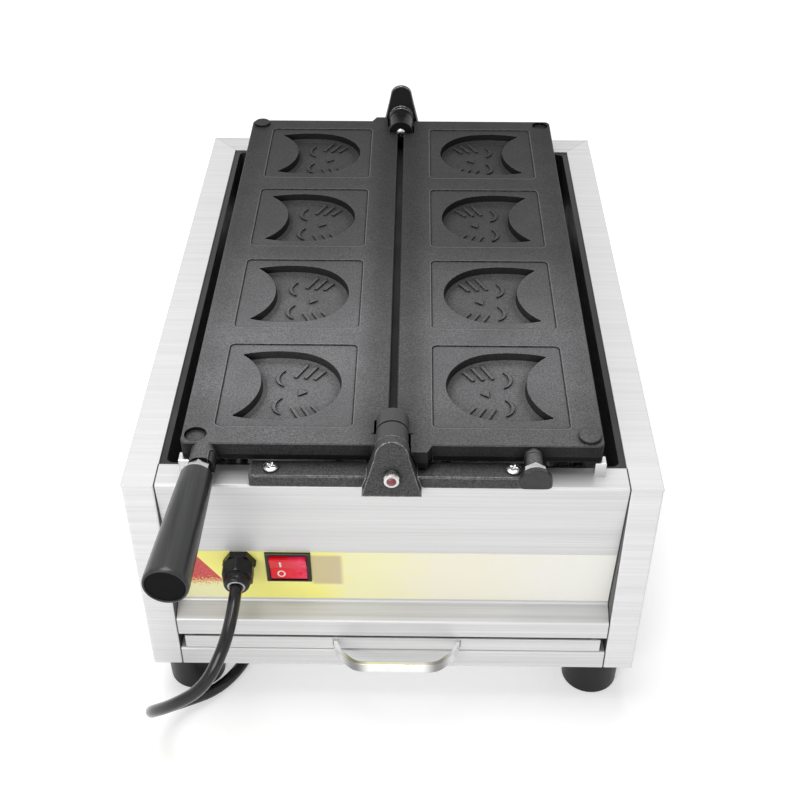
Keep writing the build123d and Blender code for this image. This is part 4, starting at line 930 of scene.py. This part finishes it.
def left_grip(way):
    """The left handle turned about its stud: a cone with a rounded shoulder, a thin rim and a sunk end."""
    start = np.array([lug_middle, -plate_end, lug_height]) + way * grip_start / cos(lean)
    neck, belly, length, sunk_end = 9.4, 13.95, 94.5, 93.4
    profile = [(0, 0), (0, neck)] + fillet_rows((0.0, neck), (0.1, 10.4), (1.4, 10.55))
    profile += fillet_rows((14, 11.05), (50, 12.5), (90.6, belly), 8)
    profile += fillet_rows((91.2, belly), (94.3, belly), (length, 12.9), 8)
    profile += [(length, 12.55)] + fillet_rows((94.4, 12.4), (94.2, 12.1), (sunk_end, 12.0), 4)
    profile += [(sunk_end, 0)]
    plug_low, plug_high, plug_radius = 92.0, 93.7, 11.9
    plug = [(plug_low, 0), (plug_low, plug_radius), (plug_high, plug_radius)]
    plug += fillet_rows((plug_high, plug_radius), (93.8, 6.0), (93.5, 0.0), 6)
    return [turned(start, way, up, round_rows(pairs), 96) for pairs in (profile, plug)]


def on_rocker(x, y, above):
    """Points over the rocker's upper and lower face, tilted as the rocker is."""
    y = np.asarray(y, float)
    middle_height, rise = 1.9, 0.135
    z = middle_height + rise * np.abs(y) + above
    across = np.asarray(x, float) + switch_x
    up_slope = y * cos(rocker_tilt) - z * sin(rocker_tilt)
    out = y * sin(rocker_tilt) + z * cos(rocker_tilt)
    origin = np.array([0.0, casing_front, deck])
    place = origin + (switch_slope - up_slope)[..., None] * panel_down + out[..., None] * panel_normal
    return place + across[..., None] * np.array([1.0, 0.0, 0.0])


def rocker_marks():
    """The raised bar and ring on the rocker, as rows from the middle or from the ring's inside outwards.

    The bar is a superellipse and the ring an ellipse. Their feet lie in the rocker.
    """
    angle = np.linspace(0, 2 * pi, 49)[None, :]
    marks_x, mark_y, bar_power = -5.1, 6.3, 0.4
    bar_half, bar_reach, ring_half, ring_reach = 0.75, 4.5, 2.9, 3.6
    top, shoulder, foot = 0.16, 0.08, -0.2
    bar_share = np.array([0.0, 0.9, 1.0, 1.0, 0.0])[:, None]
    bar_above = np.array([top, top, shoulder, foot, foot])[:, None]
    bar_x = marks_x + bar_half * bar_share * bowed(np.cos(angle), bar_power)
    bar_y = mark_y + bar_reach * bar_share * bowed(np.sin(angle), bar_power)
    ring_inset = np.array([1.1, 1.1, 0.95, 0.15, 0.0, 0.0, 1.1])[:, None]
    ring_above = np.array([foot, shoulder, top, top, shoulder, foot, foot])[:, None]
    ring_x = marks_x + (ring_half - ring_inset) * np.cos(angle)
    ring_y = -mark_y + (ring_reach - ring_inset) * np.sin(angle)
    bar_rise = np.broadcast_to(bar_above, bar_x.shape)
    ring_rise = np.broadcast_to(ring_above, ring_x.shape)
    return [on_rocker(bar_x, bar_y, bar_rise), on_rocker(ring_x, ring_y, ring_rise)]


def coil_tie():
    """A strap round the coil's turns at its rear: a rounded section carried round a superellipse."""
    loop = np.linspace(0, 2 * pi, 65)[:, None]
    section = np.linspace(0, 2 * pi, 17)[None, :]
    from_coil_middle, middle_height = 47.1, 8.9
    half_out, half_up, power = 9.6, 9.3, 0.72
    strap_half, strap_thick = 2.6, 0.45
    thick = strap_thick * bowed(np.sin(section), 0.5)
    wide = strap_half * bowed(np.cos(section), 0.3)
    over_floor = 0.05 + 0.3 * (thick + strap_thick)
    y = coil_middle[1] + from_coil_middle + (half_out + thick) * bowed(np.cos(loop), power)
    z = np.maximum(middle_height + (half_up + thick) * bowed(np.sin(loop), power), over_floor)
    x = coil_middle[0] + wide + 0 * y
    return np.stack([x, y, z], -1)


screws = [grid for x in (-bar_screw_x, bar_screw_x) for y in (-bar_screw_y, bar_screw_y)
          for grid in screw_head(x, y)]
shell("bracket_screw_heads", screws, "casing", plated, ("bracket_screws",))
bolts = [lock_bolt(*seat) for seat in bolt_seats]
shell("pillar_lock_bolts", bolts, "casing", plated, ("pillar_bolts",))
shell("lock_paint", [paint_drop(*seat) for seat in bolt_seats], "casing", red_paint)
shell("rear_pin_domed", [rear_pin()], "casing", plated, ("rear_hinge_pin",))
shell("gland_clamp", [gland_cap()], "casing", plastic, ("gland_cap_nut",))
shell("gland_seal", [gland_seal()], "casing", seal)
handle_body, handle_end = left_grip(left_way)
shell("left_handle", [handle_body], "left_mould", phenolic, ("left_grip",))
shell("left_handle_end", [handle_end], "left_mould", dull_black)
left_nut = grip_nut(lug_middle, left_way, 1 / cos(lean))
shell("left_lock_nut", [left_nut], "left_mould", plated, ("left_grip_nut",))
right_nut = grip_nut(right_lug_middle, right_way, 1.0)
shell("right_lock_nut", [right_nut], "right_mould", plated, ("right_grip_nut",))
shell("right_handle_stub", [right_stub()], "right_mould", phenolic, ("right_grip",))
shell("switch_marks", rocker_marks(), "rocker", white_paint)
tie = shell("coil_tie", [coil_tie()], "casing", plastic)


def make_floor():
    """A plain pale floor that keeps the object's shadow.

    To the camera and in reflections it also shines, the more the further it is from the middle.
    """
    mesh = bpy.data.meshes.new("floor")
    reach = 6.0
    corners = [(-reach, -reach, 0), (reach, -reach, 0), (reach, reach, 0), (-reach, reach, 0)]
    mesh.from_pydata(corners, [], [(0, 1, 2, 3)])
    floor = bpy.data.objects.new("floor", mesh)
    bpy.context.scene.collection.objects.link(floor)
    material = bpy.data.materials.new("pale_floor")
    material.use_nodes = True
    tree = material.node_tree
    tree.nodes.clear()
    matt = add(tree, "ShaderNodeBsdfDiffuse", {"Color": (0.74, 0.74, 0.74, 1.0)})
    lift = add(tree, "ShaderNodeEmission", {"Color": (1.0, 1.0, 1.0, 1.0)})
    path = add(tree, "ShaderNodeLightPath")
    seen = worked(tree, "ADD", path.outputs["Is Camera Ray"], path.outputs["Is Glossy Ray"])
    seen = worked(tree, "MINIMUM", worked(tree, "ADD", seen, path.outputs["Is Transmission Ray"]), 1.0)
    away = add(tree, "ShaderNodeVectorMath", operation="LENGTH")
    tree.links.new(add(tree, "ShaderNodeTexCoord").outputs["Object"], away.inputs[0])
    dim, bright, near, far = 0.41, 0.80, 0.8, 3.0
    shine = spread(tree, away.outputs["Value"], dim, bright, near, far)
    tree.links.new(product(tree, seen, shine), lift.inputs["Strength"])
    both = add(tree, "ShaderNodeAddShader")
    tree.links.new(matt.outputs[0], both.inputs[0])
    tree.links.new(lift.outputs[0], both.inputs[1])
    out = add(tree, "ShaderNodeOutputMaterial")
    tree.links.new(both.outputs[0], out.inputs["Surface"])
    mesh.materials.append(material)


def make_world():
    """Even white surroundings, dimmer as a light on the pieces than as the camera sees them."""
    world = bpy.data.worlds.new("studio")
    bpy.context.scene.world = world
    world.use_nodes = True
    tree = world.node_tree
    sky = tree.nodes["Background"]
    sky.inputs["Color"].default_value = (1.0, 1.0, 1.0, 1.0)
    path = add(tree, "ShaderNodeLightPath")
    seen = worked(tree, "ADD", path.outputs["Is Camera Ray"], path.outputs["Is Glossy Ray"])
    seen = worked(tree, "MINIMUM", seen, 1.0)
    as_light, as_seen = 0.34, 1.0
    tree.links.new(spread(tree, seen, as_light, as_seen), sky.inputs["Strength"])


def make_lamp(name, place, aim, size, power):
    """A soft rectangular lamp that points at a place."""
    data = bpy.data.lights.new(name, "AREA")
    data.shape = "RECTANGLE"
    data.size = size[0]
    data.size_y = size[1]
    data.energy = power
    lamp = bpy.data.objects.new(name, data)
    lamp.location = place
    lamp.rotation_euler = (Vector(aim) - Vector(place)).to_track_quat("-Z", "Y").to_euler()
    bpy.context.scene.collection.objects.link(lamp)


bpy.context.scene.view_settings.view_transform = "Standard"
make_floor()
make_world()
make_lamp("key_lamp", (-0.15, 0.15, 1.8), (0, 0.05, 0.15), (1.3, 1.0), 23.0)
make_lamp("front_lamp", (-0.7, -1.7, 1.0), (0, -0.1, 0.1), (1.2, 0.8), 17.5)

bpy.context.view_layer.update()
